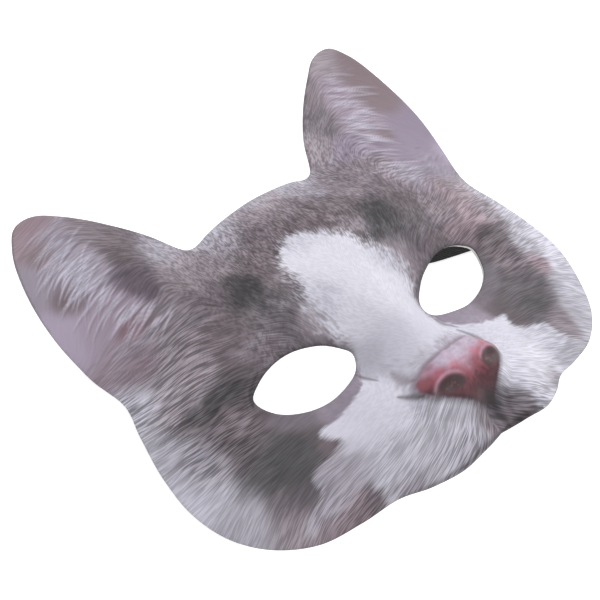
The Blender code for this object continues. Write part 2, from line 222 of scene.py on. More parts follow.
# Right half of the outline, from the forehead to the lip.
# x is a share of half the width, y of the height and z of the depth; steps are points to the next row.
OUTLINE = (
    # name, x, y, z, steps
    ("forehead_top", 0.000, 0.2665, 0.295, 3),
    ("forehead_side", 0.115, 0.2655, 0.268, 3),
    ("forehead_end", 0.228, 0.2575, 0.245, 2),
    ("ear_notch_low", 0.292, 0.2520, 0.203, 1),
    ("ear_notch", 0.324, 0.2565, 0.196, 1),
    ("ear_notch_high", 0.346, 0.2690, 0.199, 2),
    ("ear_inner_low", 0.416, 0.3330, 0.218, 3),
    ("ear_inner", 0.526, 0.4020, 0.254, 3),
    ("ear_inner_high", 0.647, 0.4605, 0.293, 2),
    ("ear_tip_in", 0.720, 0.4900, 0.293, 2),
    ("ear_tip", 0.775, 0.4975, 0.289, 2),
    ("ear_tip_out", 0.826, 0.4920, 0.277, 2),
    ("ear_outer_high", 0.872, 0.4620, 0.247, 2),
    ("ear_outer_bend", 0.905, 0.4260, 0.210, 3),
    ("ear_outer", 0.946, 0.3380, 0.138, 3),
    ("ear_outer_low", 0.961, 0.2430, 0.080, 3),
    ("temple_high", 0.945, 0.1480, 0.019, 3),
    ("temple", 0.914, 0.0560, 0.019, 3),
    ("cheek_high", 0.951, -0.0190, 0.019, 3),
    ("cheek", 0.990, -0.1140, 0.019, 3),
    ("cheek_wide", 0.999, -0.2080, 0.019, 3),
    ("cheek_low", 0.954, -0.2950, 0.019, 3),
    ("jaw", 0.866, -0.3670, 0.078, 3),
    ("jaw_low", 0.732, -0.4190, 0.151, 3),
    ("jaw_inner", 0.578, -0.4410, 0.254, 3),
    ("muzzle_notch", 0.440, -0.4540, 0.377, 2),
    ("muzzle_side", 0.332, -0.4825, 0.491, 2),
    ("muzzle_low", 0.218, -0.4995, 0.592, 2),
    ("muzzle_inner", 0.104, -0.4960, 0.640, 2),
    ("lip", 0.000, -0.4860, 0.600, 0),
)

# Right eye opening, from its outer corner, anticlockwise. Shares of the opening's width and height
# from its centre, and of the mask's depth.
EYE_RIM = (
    # name, x, y, z
    ("outer_corner", 0.509, 0.248, 0.332),
    ("upper_outer", 0.394, 0.389, 0.387),
    ("upper_mid_outer", 0.219, 0.470, 0.443),
    ("upper_mid", 0.038, 0.456, 0.489),
    ("upper_mid_inner", -0.161, 0.349, 0.503),
    ("upper_inner", -0.338, 0.181, 0.489),
    ("inner_corner", -0.487, -0.102, 0.449),
    ("inner_turn", -0.461, -0.281, 0.421),
    ("lower_inner", -0.361, -0.415, 0.413),
    ("lower_mid_inner", -0.066, -0.522, 0.385),
    ("lower_mid_outer", 0.229, -0.396, 0.349),
    ("lower_outer", 0.427, -0.139, 0.326),
)

# Heights that shape the face between the outline and the eyes, without the nose
FACE = (
    # name, x, y, z
    ("forehead_upper", 0.000, 0.200, 0.435),
    ("forehead_mid", 0.000, 0.100, 0.575),
    ("forehead_low", 0.000, 0.000, 0.655),
    ("between_brows", 0.000, -0.100, 0.652),
    ("bridge_root", 0.000, -0.180, 0.618),
    ("bridge", 0.000, -0.240, 0.600),
    ("under_nose_top", 0.000, -0.310, 0.615),
    ("under_nose", 0.000, -0.370, 0.645),
    ("philtrum", 0.000, -0.425, 0.670),
    ("forehead_side_mid", 0.270, 0.150, 0.465),
    ("brow_inner", 0.270, 0.010, 0.640),
    ("brow", 0.450, -0.010, 0.580),
    ("brow_outer", 0.590, -0.035, 0.470),
    ("brow_top", 0.500, 0.110, 0.480),
    ("crown_side", 0.600, 0.200, 0.335),
    ("temple_upper", 0.730, 0.070, 0.330),
    ("temple_low", 0.760, -0.060, 0.275),
    ("ear_base_outer", 0.780, 0.210, 0.215),
    ("ear_base_inner", 0.460, 0.240, 0.300),
    ("ear_bowl_low", 0.680, 0.290, 0.225),
    ("ear_bowl", 0.720, 0.370, 0.205),
    ("ear_bowl_high", 0.770, 0.440, 0.232),
    ("cheek_outer", 0.830, -0.200, 0.190),
    ("cheek_mid", 0.640, -0.260, 0.305),
    ("cheek_inner", 0.440, -0.270, 0.405),
    ("cheek_under", 0.700, -0.340, 0.225),
    ("muzzle_root", 0.270, -0.250, 0.520),
    ("muzzle_flank", 0.330, -0.350, 0.580),
    ("muzzle_flank_low", 0.400, -0.410, 0.475),
    ("whisker_pad", 0.200, -0.390, 0.725),
    ("whisker_pad_low", 0.150, -0.450, 0.735),
)

# The nose, raised row by row as a ridge across the plane of symmetry
NOSE_READINGS = 201
NOSE_ROUNDING = 13
NOSE = (
    # name, y, rise, half_width, square
    ("brow_start", 0.070, 0.000, 0.280, 1.0),
    ("brow_valley", -0.060, 0.060, 0.250, 1.0),
    ("ridge_high", -0.150, 0.150, 0.200, 1.1),
    ("ridge", -0.215, 0.220, 0.180, 1.2),
    ("ridge_low", -0.270, 0.275, 0.180, 1.4),
    ("leather_top", -0.310, 0.325, 0.205, 1.6),
    ("tip", -0.345, 0.335, 0.235, 1.8),
    ("nostrils", -0.375, 0.285, 0.220, 1.8),
    ("leather_low", -0.405, 0.190, 0.190, 1.6),
    ("leather_end", -0.428, 0.085, 0.150, 1.3),
    ("under_leather", -0.445, 0.020, 0.120, 1.0),
    ("lip_line", -0.462, 0.000, 0.110, 1.0),
)
DETAILS = (
    # name, x, y, rise, reach_x, reach_y
    ("nostril", 0.105, -0.362, -0.055, 0.042, 0.0190),
    ("philtrum_groove", 0.000, -0.445, -0.045, 0.030, 0.0300),
    ("tear_dent", 0.170, -0.215, -0.030, 0.050, 0.0260),
)

# The band's route, right half from the middle outwards, in shares as the outline's
BAND_ROUTE = (
    # x, y, z, grip
    (0.0000, 0.1310, 0.0175, 0.0),
    (0.0725, 0.1255, 0.0175, 0.0),
    (0.1451, 0.1074, 0.0175, 0.0),
    (0.2176, 0.0783, 0.0175, 0.0),
    (0.2901, 0.0432, 0.0175, 0.0),
    (0.3626, 0.0100, 0.0175, 0.0),
    (0.4352, -0.0181, 0.0175, 0.0),
    (0.5104, -0.0387, 0.0175, 0.0),
    (0.6038, -0.0547, 0.0175, 0.0),
    (0.6664, -0.0643, 0.0194, 0.0),
    (0.7026, -0.0693, 0.0330, 0.1),
    (0.7344, -0.0733, 0.0718, 0.3),
    (0.7616, -0.0768, 0.1204, 0.6),
    (0.7824, -0.0798, 0.1534, 0.9),
    (0.8033, -0.0823, 0.1670, 1.0),
    (0.8250, -0.0853, 0.1456, 1.0),
    (0.8522, -0.0889, 0.1165, 1.0),
    (0.8794, -0.0924, 0.0874, 1.0),
    (0.9021, -0.0954, 0.0641, 1.0),
)
PATCH_CENTRE = (0.8885, -0.0935)

# Which way the hairs lie, in degrees anticlockwise from +X, on the right half and mirrored on the left
FUR_LAY = (
    # name, x, y, angle
    ("forehead_middle", 0, 38, 90),
    ("forehead_side", 22, 36, 108),
    ("forehead_end", 36, 40, 116),
    ("crown", 45, 26, 104),
    ("brow_spot", 36, 11, 72),
    ("brow", 43, -5, 38),
    ("brow_inner", 27, -8, 74),
    ("brow_outer", 60, -6, 22),
    ("between_eyes", 0, -20, 90),
    ("blaze_side", 19, -12, 82),
    ("bridge", 0, -48, 90),
    ("bridge_side", 13, -45, 82),
    ("tear_line", 24, -44, -66),
    ("under_eye", 34, -58, -8),
    ("lid", 42, -46, 0),
    ("lid_outer", 62, -36, -4),
    ("stripe", 82, -21, 5),
    ("temple_low", 90, -8, 13),
    ("temple", 88, 5, 25),
    ("temple_inner", 66, 8, 34),
    ("ear_base_outer", 92, 22, 32),
    ("ear_base", 64, 24, -14),
    ("ear_base_inner", 49, 36, 66),
    ("ear_edge", 46, 60, 56),
    ("ear_edge_high", 64, 84, 46),
    ("ear_bowl_low", 68, 36, -18),
    ("ear_bowl", 73, 55, -22),
    ("ear_bowl_high", 80, 75, -14),
    ("ear_tip", 87, 93, -6),
    ("ear_outer", 101, 48, -78),
    ("ear_outer_high", 99, 72, -68),
    ("cheek_mid", 80, -36, 2),
    ("cheek_rim", 103, -34, 0),
    ("cheek_rim_low", 96, -62, -26),
    ("cheek_spot", 72, -52, -5),
    ("cheek_low", 78, -74, -34),
    ("jaw", 60, -84, -10),
    ("cheek_white", 48, -68, -4),
    ("muzzle_side", 30, -80, -18),
    ("pad", 16, -82, -30),
    ("pad_low", 24, -95, -22),
    ("pad_middle", 6, -92, -58),
    ("nose_side", 23, -62, -48),
)

# Colours of the print, dye on white polyester, so even the white is a cool grey, and of the other pieces
INKS = {
    "blaze_white": "e6e4ee",
    "muzzle_white": "dedce8",
    "shade_white": "cfcdd9",
    "fringe_white": "c6c4cf",
    "pale_mist": "b6b2bd",
    "mist": "a8a2ad",
    "silver_taupe": "a0949b",
    "taupe": "8d8188",
    "warm_taupe": "89777e",
    "rose_taupe": "9e8991",
    "deep_taupe": "776b71",
    "dark_taupe": "655b60",
    "brow_grey": "605a5f",
    "smoke": "4e4c4e",
    "charcoal": "2b2a2c",
    "ear_mauve": "b5a8bb",
    "ear_mauve_deep": "978a9d",
    "ear_pink": "a797a6",
    "ear_brown": "8a797e",
    "ear_rose": "a08891",
    "ear_rust": "8a6d76",
    "ear_umber": "75656a",
    "ear_dusk": "655965",
    "ear_grey": "847a82",
    "ear_shade": "a096a3",
    "ear_white": "cbc7d6",
    "lid_mauve": "948a97",
    "lid_pink": "a094a3",
    "stripe_brown": "62575b",
    "ink": "2e2a2d",
    "soft_ink": "4a4347",
    # The two sheen inks are painted highlights on the nose leather
    "leather_sheen": "c8bed2",
    "leather_lilac_sheen": "b48e9f",
    "leather_pink": "c06a7a",
    "leather_red": "9a5660",
    "leather_wing": "904b55",
    "leather_deep": "763f46",
    "leather_low": "643c42",
    "leather_dark": "3c3034",
    "nose_hair_and_shadow": "7a6472",
    "nostril_dark": "4a3b3d",
    "nostril_rust": "8a5550",
    "foam_light": "d9d8d6",
    "band_deep": "121214",
    "band_light": "29292c",
    "felt_deep": "141416",
    "felt_light": "303033",
}

# The grey coat: spots of ink that run into each other. side is 0 for both halves, else -1 or 1.
# grain is how strongly single strands stand out, in shares of full brightness.
COAT = (
    # name, side, x, y, reach, ink, grain
    ("forehead_rim", 0, 0, 51, 4, "pale_mist", 0.055),
    ("forehead_rim_side", 0, 25, 50, 5, "fringe_white", 0.050),
    ("forehead_top", 0, 0, 44, 7, "silver_taupe", 0.065),
    ("forehead_side", 0, 25, 42, 7, "mist", 0.080),
    ("forehead_middle", 0, 0, 34, 6, "deep_taupe", 0.080),
    ("forehead_inner", 0, 15, 32, 7, "deep_taupe", 0.080),
    ("forehead_low", 0, 24, 24, 8, "deep_taupe", 0.080),
    ("spot_side_left", -1, 27, 10, 5, "deep_taupe", 0.060),
    ("spot_side_right", 1, 21, 12, 4, "taupe", 0.060),
    ("ear_foot", 0, 38, 36, 8, "taupe", 0.070),
    ("brow_spot_left", -1, 43, 13, 7.5, "charcoal", 0.050),
    ("brow_spot_right", 1, 32, 8, 8, "charcoal", 0.060),
    ("brow", 0, 40, -2, 10, "brow_grey", 0.070),
    ("brow_side_right", 1, 46, 8, 6, "dark_taupe", 0.050),
    ("brow_inner_left", -1, 28, -12, 5, "taupe", 0.020),
    ("brow_inner_right", 1, 26, -11, 6, "taupe", 0.025),
    ("brow_out", -1, 58, 2, 8, "deep_taupe", 0.055),
    ("brow_out_right", 1, 60, 0, 8, "taupe", 0.080),
    ("brow_low_right", 1, 62, -12, 5, "warm_taupe", 0.070),
    ("lid_upper_left", -1, 46, -10, 5, "taupe", 0.080),
    ("lid_upper_right", 1, 44, -10, 6, "deep_taupe", 0.060),
    ("crown", 0, 54, 18, 9, "deep_taupe", 0.070),
    ("temple_left", -1, 76, 9, 10, "silver_taupe", 0.100),
    ("temple_right", 1, 74, 4, 8, "rose_taupe", 0.070),
    ("temple_right_low", 1, 78, -7, 7, "rose_taupe", 0.080),
    ("temple_out_right", 1, 90, -8, 6, "taupe", 0.090),
    ("temple_mid_right", 1, 87, 2, 5.5, "rose_taupe", 0.090),
    ("temple_rim_left", -1, 100, 2, 8, "fringe_white", 0.090),
    ("temple_rim_right", 1, 104, 0, 7, "pale_mist", 0.070),
    ("temple_rim_low_left", -1, 105, -12, 7, "fringe_white", 0.045),
    ("temple_rim_low_right", 1, 105, -14, 7, "shade_white", 0.050),
    ("temple_low_left", -1, 90, -5, 7, "silver_taupe", 0.120),
    ("stripe_left", -1, 87, -12.0, 2.4, "smoke", 0.090),
    ("stripe_mid_left", -1, 79.5, -14.5, 2.7, "smoke", 0.080),
    ("stripe_in_left", -1, 72, -16.5, 2.6, "smoke", 0.080),
    ("stripe_below_left", -1, 76, -25, 6, "deep_taupe", 0.110),
    ("stripe_right", 1, 79, -22, 5, "stripe_brown", 0.080),
    ("cheek_mid_left", -1, 79, -32, 9, "dark_taupe", 0.115),
    ("cheek_mid_right", 1, 77, -35, 8, "deep_taupe", 0.110),
    ("cheek_blush_right", 1, 90, -42, 4, "ear_rose", 0.080),
    ("cheek_outer_left", -1, 96, -32, 7, "mist", 0.100),
    ("cheek_outer_right", 1, 94, -32, 6, "fringe_white", 0.070),
    ("cheek_rim_left", -1, 106, -38, 9, "shade_white", 0.028),
    ("cheek_rim_right", 1, 106, -38, 9, "muzzle_white", 0.045),
    ("cheek_rim_low_left", -1, 98, -62, 9, "pale_mist", 0.034),
    ("cheek_rim_low_right", 1, 97, -62, 9, "fringe_white", 0.050),
    ("cheek_spot_left", -1, 72, -50, 11, "smoke", 0.045),
    ("cheek_spot_low_left", -1, 74, -63, 6, "brow_grey", 0.025),
    ("cheek_spot_out_left", -1, 82, -63, 6, "dark_taupe", 0.040),
    ("cheek_spot_right", 1, 69, -51, 11, "brow_grey", 0.060),
    ("cheek_spot_core_right", 1, 69, -55, 5, "smoke", 0.050),
    ("cheek_spot_edge_right", 1, 52, -59, 4, "dark_taupe", 0.040),
    ("cheek_spot_edge_left", -1, 55, -56, 3, "deep_taupe", 0.030),
    ("cheek_spot_low_right", 1, 75, -71, 6, "taupe", 0.050),
    ("lid_left", -1, 40, -46, 8, "lid_mauve", 0.012),
    ("lid_inner_left", -1, 28, -43, 4, "lid_pink", 0.012),
    ("lid_side_left", -1, 55, -43, 5, "dark_taupe", 0.020),
    ("lid_right", 1, 34, -46, 7, "lid_pink", 0.012),
    ("lid_side_right", 1, 50, -47, 6, "dark_taupe", 0.018),
    ("lid_outer_left", -1, 62, -34, 6, "dark_taupe", 0.025),
    ("lid_outer_right", 1, 62, -36, 6, "brow_grey", 0.025),
    ("jaw_side_left", -1, 85, -71, 7, "silver_taupe", 0.055),
    ("jaw_side_right", 1, 88, -72, 7, "fringe_white", 0.045),
    ("jaw_left", -1, 66, -83, 6, "warm_taupe", 0.080),
    ("jaw_left_inner", -1, 54, -87, 3.5, "dark_taupe", 0.085),
    ("jaw_blush_left", -1, 71, -79, 2.5, "warm_taupe", 0.060),
    ("jaw_right", 1, 65, -83, 7, "taupe", 0.085),
    ("ear_base_left", -1, 72, 24, 7, "taupe", 0.065),
    ("ear_base_out_left", -1, 86, 22, 6, "ear_shade", 0.045),
    ("ear_base_right", 1, 63, 16, 7, "ear_mauve", 0.045),
    ("ear_base_inner", 0, 52, 36, 8, "taupe", 0.065),
    ("ear_dusk_left", -1, 67, 51, 5.5, "ear_dusk", 0.050),
    ("ear_dusk_low_left", -1, 66, 43, 3.5, "ear_dusk", 0.045),
    ("ear_dusk_high_left", -1, 59, 66, 7, "deep_taupe", 0.060),
    ("ear_dusk_right", 1, 58, 48, 7, "ear_mauve_deep", 0.060),
    ("ear_dusk_high_right", 1, 59, 70, 7, "ear_grey", 0.060),
    ("ear_inner_left", -1, 48, 60, 6, "mist", 0.060),
    ("ear_inner_right", 1, 47, 60, 6, "silver_taupe", 0.060),
    ("ear_inner_high", 0, 64, 83, 6, "taupe", 0.050),
    ("ear_tip_left", -1, 88, 95, 8, "rose_taupe", 0.022),
    ("ear_tip_right", 1, 84, 94, 6, "silver_taupe", 0.035),
    ("ear_tip_side_right", 1, 93, 86, 7, "ear_brown", 0.010),
    ("ear_bowl_left", -1, 80, 66, 9, "ear_shade", 0.040),
    ("ear_bowl_high_left", -1, 80, 82, 7, "ear_shade", 0.040),
    ("ear_bowl_low_left", -1, 80, 45, 7, "ear_pink", 0.030),
    ("ear_bowl_right", 1, 76, 60, 9, "ear_pink", 0.035),
    ("ear_bowl_high_right", 1, 76, 77, 7, "ear_pink", 0.035),
    ("ear_mauve_left", -1, 101, 50, 9, "ear_mauve", 0.004),
    ("ear_mauve_high_left", -1, 100, 72, 7, "ear_shade", 0.006),
    ("ear_mauve_right", 1, 92, 38, 13, "ear_mauve_deep", 0.005),
    ("ear_mauve_low_right", 1, 80, 24, 8, "ear_mauve_deep", 0.015),
    ("ear_mauve_rim_right", 1, 103, 30, 5, "ear_mauve", 0.005),
    ("ear_pink_left", -1, 91, 44, 6, "ear_pink", 0.008),
    ("ear_brown_left", -1, 92, 60, 5.5, "ear_umber", 0.015),
    ("ear_brown_high", -1, 88, 83, 4, "ear_brown", 0.025),
    ("ear_brown_right", 1, 93, 67, 7, "ear_brown", 0.008),
    ("ear_brown_spot", 1, 80, 48, 3.5, "ear_brown", 0.020),
    ("ear_rose_left", -1, 86.5, 20, 4.8, "ear_rust", 0.015),
    ("ear_rose_inner", -1, 80, 33, 4.4, "ear_rust", 0.025),
    ("ear_rose_right", 1, 76, 8, 4, "warm_taupe", 0.030),
    ("ear_rose_foot", 1, 56, 24, 3.5, "ear_rose", 0.035),
)

# The white of forehead, muzzle and cheeks, in the same way
WHITES = (
    # name, side, x, y, reach, ink, grain
    ("blaze_top", 0, -5, 20, 6, "shade_white", 0.030),
    ("blaze", 0, 0, 4, 14, "blaze_white", 0.010),
    ("blaze_side", 0, 18, -8, 6, "shade_white", 0.025),
    ("between_eyes", 0, 0, -22, 12, "blaze_white", 0.012),
    ("bridge", 0, 3, -45, 12, "muzzle_white", 0.008),
    # Painted shade down the left side of the bridge
    ("bridge_left", -1, 16, -38, 4, "fringe_white", 0.008),
    ("nose_top", 0, 0, -57.5, 3, "fringe_white", 0.030),
    ("under_eye_left", -1, 36, -60, 12, "muzzle_white", 0.010),
    ("under_eye_right", 1, 36, -62, 14, "muzzle_white", 0.012),
    ("cheek_white_left", -1, 58, -70, 8, "mist", 0.045),
    ("cheek_far_left", -1, 66, -74, 6, "mist", 0.070),
    ("cheek_white_right", 1, 55, -73, 10, "shade_white", 0.040),
    ("cheek_far_right", 1, 70, -77, 8, "fringe_white", 0.045),
    # Greyer on the left pad: painted shade
    ("pad_left", -1, 22, -78, 8, "fringe_white", 0.055),
    ("pad_right", 1, 22, -78, 10, "muzzle_white", 0.045),
    ("pad_outer_left", -1, 40, -78, 9, "fringe_white", 0.050),
    ("pad_outer_right", 1, 40, -80, 10, "blaze_white", 0.035),
    ("pad_low_left", -1, 14, -94, 6, "pale_mist", 0.100),
    ("pad_low_side_left", -1, 32, -94, 5, "fringe_white", 0.080),
    ("pad_low_right", 1, 26, -96, 6, "shade_white", 0.090),
    ("pad_end", 0, 42, -90, 4, "mist", 0.075),
    ("cleft_left", -1, 3, -92, 2.5, "taupe", 0.080),
    ("cleft", 1, 5, -93, 2.6, "taupe", 0.060),
    # Right of the cleft: printed dark fur, darkened further with painted shade
    ("cleft_right", 1, 11, -92, 4, "dark_taupe", 0.090),
    ("cleft_right_low", 1, 15, -96, 3.5, "deep_taupe", 0.110),
    ("cleft_top", 1, 5, -86, 2.2, "brow_grey", 0.070),
)

# The white's edge, clockwise seen from the front. soft is how far hairs cross it.
WHITE_EDGE = (
    # name, x, y, soft
    ("top", -5.0, 25.0, 2.2),
    ("top_right", 0.5, 20.5, 2.0),
    ("right_shoulder", 7.0, 16.0, 2.2),
    ("right_high", 13.0, 8.0, 2.2),
    ("right_mid", 17.0, -1.0, 3.4),
    ("right_low", 22.5, -12.0, 3.6),
    ("right_eye_corner", 21.0, -25.0, 3.6),
    ("right_tear", 21.5, -36.0, 1.6),
    ("right_lid_start", 23.2, -45.0, 0.8),
    ("right_lid_low", 27.5, -52.5, 0.9),
    ("right_lid", 38.0, -55.3, 1.0),
    ("right_lid_end", 48.5, -55.6, 1.4),
    ("right_nick", 45.5, -60.5, 1.6),
    ("right_cheek", 52.0, -65.5, 1.6),
    ("right_cheek_mid", 64.0, -67.8, 1.5),
    ("right_cheek_low", 68.0, -74.5, 1.5),
    ("right_cheek_end", 76.0, -80.5, 2.0),
    ("right_jaw", 88.0, -84.0, 2.5),
    ("right_outside", 70.0, -100.0, 2.5),
    ("chin_right", 30.0, -112.0, 2.5),
    ("chin_left", -30.0, -112.0, 2.5),
    ("left_jaw", -50.0, -94.0, 1.8),
    ("left_jaw_high", -52.0, -82.5, 1.8),
    ("left_jaw_in", -56.0, -78.0, 1.8),
    ("left_band_low", -66.0, -78.5, 2.2),
    ("left_band_end", -82.0, -77.0, 3.0),
    ("left_band_high", -75.5, -72.8, 2.0),
    ("left_cheek_low", -69.5, -69.5, 1.2),
    ("left_cheek_mid", -68.0, -62.0, 1.2),
    ("left_cheek", -57.5, -60.4, 1.4),
    ("left_nick", -50.5, -57.8, 1.6),
    ("left_lid_end", -54.8, -50.8, 1.2),
    ("left_lid", -42.0, -49.2, 0.9),
    ("left_lid_low", -31.5, -47.0, 0.8),
    ("left_lid_start", -25.0, -43.0, 0.9),
    ("left_tear", -21.5, -36.5, 1.8),
    ("left_eye_corner", -22.5, -26.0, 3.6),
    ("left_low", -26.0, -13.0, 3.6),
    ("left_mid", -22.8, 0.0, 3.6),
    ("left_high", -20.0, 14.0, 2.2),
    ("left_shoulder", -12.5, 22.5, 2.2),
)

# Tufts: hairs that start round a spot and follow the lay. side as above.
TUFTS = (
    # name, side, x, y, spread_x, spread_y, count, length, width, ink, strength
    ("forehead_dark", 0, 20, 34, 22, 11, 620, 3.0, 0.50, "ink", 0.46),
    ("forehead_light", 0, 22, 39, 22, 10, 520, 3.0, 0.45, "ear_pink", 0.60),
    ("forehead_edge", 0, 20, 49, 20, 3, 180, 3.5, 0.50, "fringe_white", 0.45),
    ("ear_foot_light", 0, 42, 40, 9, 12, 230, 4.0, 0.45, "fringe_white", 0.36),
    ("ear_foot_dark", 0, 48, 32, 14, 12, 300, 3.5, 0.50, "ink", 0.32),
    ("crown_light", 0, 56, 20, 14, 9, 260, 4.5, 0.50, "ear_pink", 0.50),
    ("crown_dark", 0, 56, 18, 14, 9, 260, 4.5, 0.50, "ink", 0.34),
    ("spot_light", 0, 38, 8, 10, 9, 150, 4.0, 0.45, "silver_taupe", 0.34),
    ("brow_light", 0, 42, -3, 14, 8, 150, 5.0, 0.45, "silver_taupe", 0.34),
    ("brow_corner_left", -1, 25, -8, 5, 13, 200, 7.5, 0.40, "muzzle_white", 0.36),
    ("brow_corner_right", 1, 23, -8, 5, 13, 200, 7.5, 0.40, "muzzle_white", 0.36),
    ("blaze_rim_left", -1, 21, 6, 3, 12, 150, 4.0, 0.45, "shade_white", 0.20),
    ("blaze_rim_right", 1, 17, 4, 4, 10, 150, 4.0, 0.45, "shade_white", 0.20),
    ("brow_whisker_left", -1, 50, -9.0, 8, 1.1, 20, 9.0, 0.40, "muzzle_white", 0.60),
    ("brow_whisker_right", 1, 45, -9.0, 8, 1.2, 18, 8.0, 0.40, "shade_white", 0.45),
    ("temple_dark", 0, 80, 8, 16, 13, 420, 6.5, 0.50, "ink", 0.34),
    ("temple_light", 0, 88, 4, 14, 14, 420, 7.5, 0.50, "shade_white", 0.40),
    ("temple_rim_dark", -1, 98, -6, 7, 12, 160, 7.0, 0.50, "dark_taupe", 0.42),
    ("stripe_dark_left", -1, 81, -14.5, 10, 2.2, 170, 8.5, 0.55, "ink", 0.75),
    ("stripe_dark_right", 1, 80, -22, 11, 4, 170, 8.0, 0.50, "ink", 0.42),
    ("stripe_light", 0, 82, -20, 12, 8, 120, 7.5, 0.45, "silver_taupe", 0.40),
    ("cheek_dark_left", -1, 86, -34, 8, 14, 300, 8.5, 0.50, "ink", 0.40),
    ("cheek_dark_right", 1, 82, -34, 7, 14, 260, 8.0, 0.50, "soft_ink", 0.36),
    ("cheek_streak", 0, 84, -34, 12, 18, 260, 8.0, 0.45, "fringe_white", 0.32),
    ("cheek_light", 0, 100, -36, 8, 20, 330, 8.5, 0.50, "muzzle_white", 0.20),
    ("cheek_rim_grey", 0, 100, -40, 7, 18, 200, 8.0, 0.50, "taupe", 0.22),
    ("cheek_low_light", 0, 90, -65, 11, 8, 240, 8.0, 0.50, "muzzle_white", 0.14),
    ("cheek_low_dark", -1, 86, -68, 10, 7, 190, 7.0, 0.50, "dark_taupe", 0.24),
    ("cheek_low_dark_right", 1, 84, -68, 9, 7, 110, 7.0, 0.50, "taupe", 0.40),
    ("spot_edge_light", 0, 84, -58, 5, 8, 120, 6.0, 0.50, "mist", 0.34),
    ("band_light", 0, 60, -70, 12, 5, 200, 8.0, 0.50, "muzzle_white", 0.24),
    ("band_dark", -1, 58, -72, 10, 5, 130, 7.5, 0.50, "deep_taupe", 0.22),
    ("jaw_dark", 0, 64, -84, 12, 3, 190, 6.5, 0.55, "soft_ink", 0.46),
    ("jaw_light", 0, 66, -81, 12, 3, 150, 7.0, 0.50, "muzzle_white", 0.28),
    ("pad_grey_left", -1, 26, -84, 15, 8, 260, 7.5, 0.55, "taupe", 0.42),
    ("pad_grey_right", 1, 30, -86, 14, 7, 140, 8.0, 0.55, "mist", 0.48),
    ("pad_white", 0, 26, -84, 16, 9, 260, 7.5, 0.50, "blaze_white", 0.48),
    ("pad_low_dark", -1, 22, -95, 18, 3, 240, 6.5, 0.55, "soft_ink", 0.24),
    ("pad_low_dark_right", 1, 24, -95, 12, 3, 150, 6.5, 0.55, "soft_ink", 0.20),
    ("pad_end_dark", 0, 42, -90, 7, 2.5, 90, 7.0, 0.50, "deep_taupe", 0.46),
    # Dark hairs right of the cleft: print, darkened further with painted shade
    ("cleft_dark", 1, 9, -91, 5, 5, 170, 6.0, 0.60, "ink", 0.45),
    ("cleft_light", 1, 13, -90, 6, 4, 60, 6.5, 0.45, "fringe_white", 0.42),
    ("cleft_dark_left", -1, 3, -92, 4, 4, 70, 5.0, 0.50, "soft_ink", 0.42),
    ("nose_top", 0, 7, -57.5, 9, 2.4, 150, 2.4, 0.42, "nose_hair_and_shadow", 0.42),
    # Painted shade on the left side of the nose, drawn as hairs
    ("nose_side_left", -1, 17, -54, 2.5, 7, 70, 4.0, 0.50, "taupe", 0.36),
    ("ear_edge_dark", 0, 52, 66, 7, 12, 230, 4.5, 0.50, "soft_ink", 0.36),
    ("ear_edge_light", 0, 48, 58, 7, 14, 200, 4.5, 0.45, "shade_white", 0.34),
    ("ear_dusk_dark", 0, 63, 55, 6, 10, 130, 5.0, 0.50, "ink", 0.30),
    ("ear_tip_light", 0, 82, 90, 9, 6, 90, 6.0, 0.45, "ear_white", 0.26),
    ("ear_foot_streak", 0, 70, 21, 13, 7, 190, 7.0, 0.50, "shade_white", 0.36),
    ("ear_foot_streak_dark", 0, 68, 19, 13, 7, 180, 6.5, 0.50, "ink", 0.30),
)

# Long pale hairs inside the ears: each row is a lock of hairs that leaves the inner side and droops
LOCKS = (
    # name, side, x, y, angle, length, bend, count, width, strength
    ("left_tip", -1, 72, 91, 2, 20, -34, 7, 0.60, 0.30),
    ("left_high", -1, 70, 86, 2, 24, -36, 9, 0.60, 0.40),
    ("left_high_low", -1, 70, 81, 4, 26, -40, 9, 0.60, 0.46),
    ("left_upper", -1, 70, 76, 4, 26, -42, 10, 0.65, 0.52),
    ("left_upper_low", -1, 70, 71.5, 4, 25, -42, 11, 0.65, 0.58),
    ("left_middle_high", -1, 70, 66, 4, 25, -42, 12, 0.65, 0.62),
    ("left_middle", -1, 72, 60, 2, 23, -40, 10, 0.65, 0.56),
    ("left_middle_low", -1, 72, 54, 0, 22, -36, 9, 0.60, 0.50),
    ("left_lower", -1, 72, 48, 0, 20, -34, 9, 0.60, 0.50),
    ("left_low", -1, 70, 41, -2, 22, -28, 10, 0.60, 0.56),
    ("left_foot_high", -1, 64, 36, -2, 24, -22, 10, 0.60, 0.50),
    ("left_foot", -1, 60, 29, -2, 22, -14, 8, 0.60, 0.40),
    ("right_tip", 1, 74, 88, -14, 18, -12, 8, 0.55, 0.34),
    ("right_high", 1, 70, 81, -16, 22, -16, 9, 0.60, 0.46),
    ("right_upper", 1, 68, 74, -18, 22, -16, 9, 0.60, 0.48),
    ("right_upper_low", 1, 68, 67, -24, 20, -14, 10, 0.65, 0.56),
    ("right_middle", 1, 67, 60, -26, 20, -14, 10, 0.65, 0.60),
    ("right_middle_low", 1, 64, 52, -26, 19, -14, 10, 0.65, 0.58),
    ("right_lower", 1, 60, 43, -24, 18, -10, 8, 0.60, 0.44),
    ("right_low", 1, 53, 33, -16, 22, -10, 10, 0.60, 0.50),
    ("right_foot", 1, 52, 26, -10, 22, -4, 9, 0.60, 0.44),
    ("right_foot_low", 1, 56, 18, -4, 18, 4, 7, 0.55, 0.36),
)
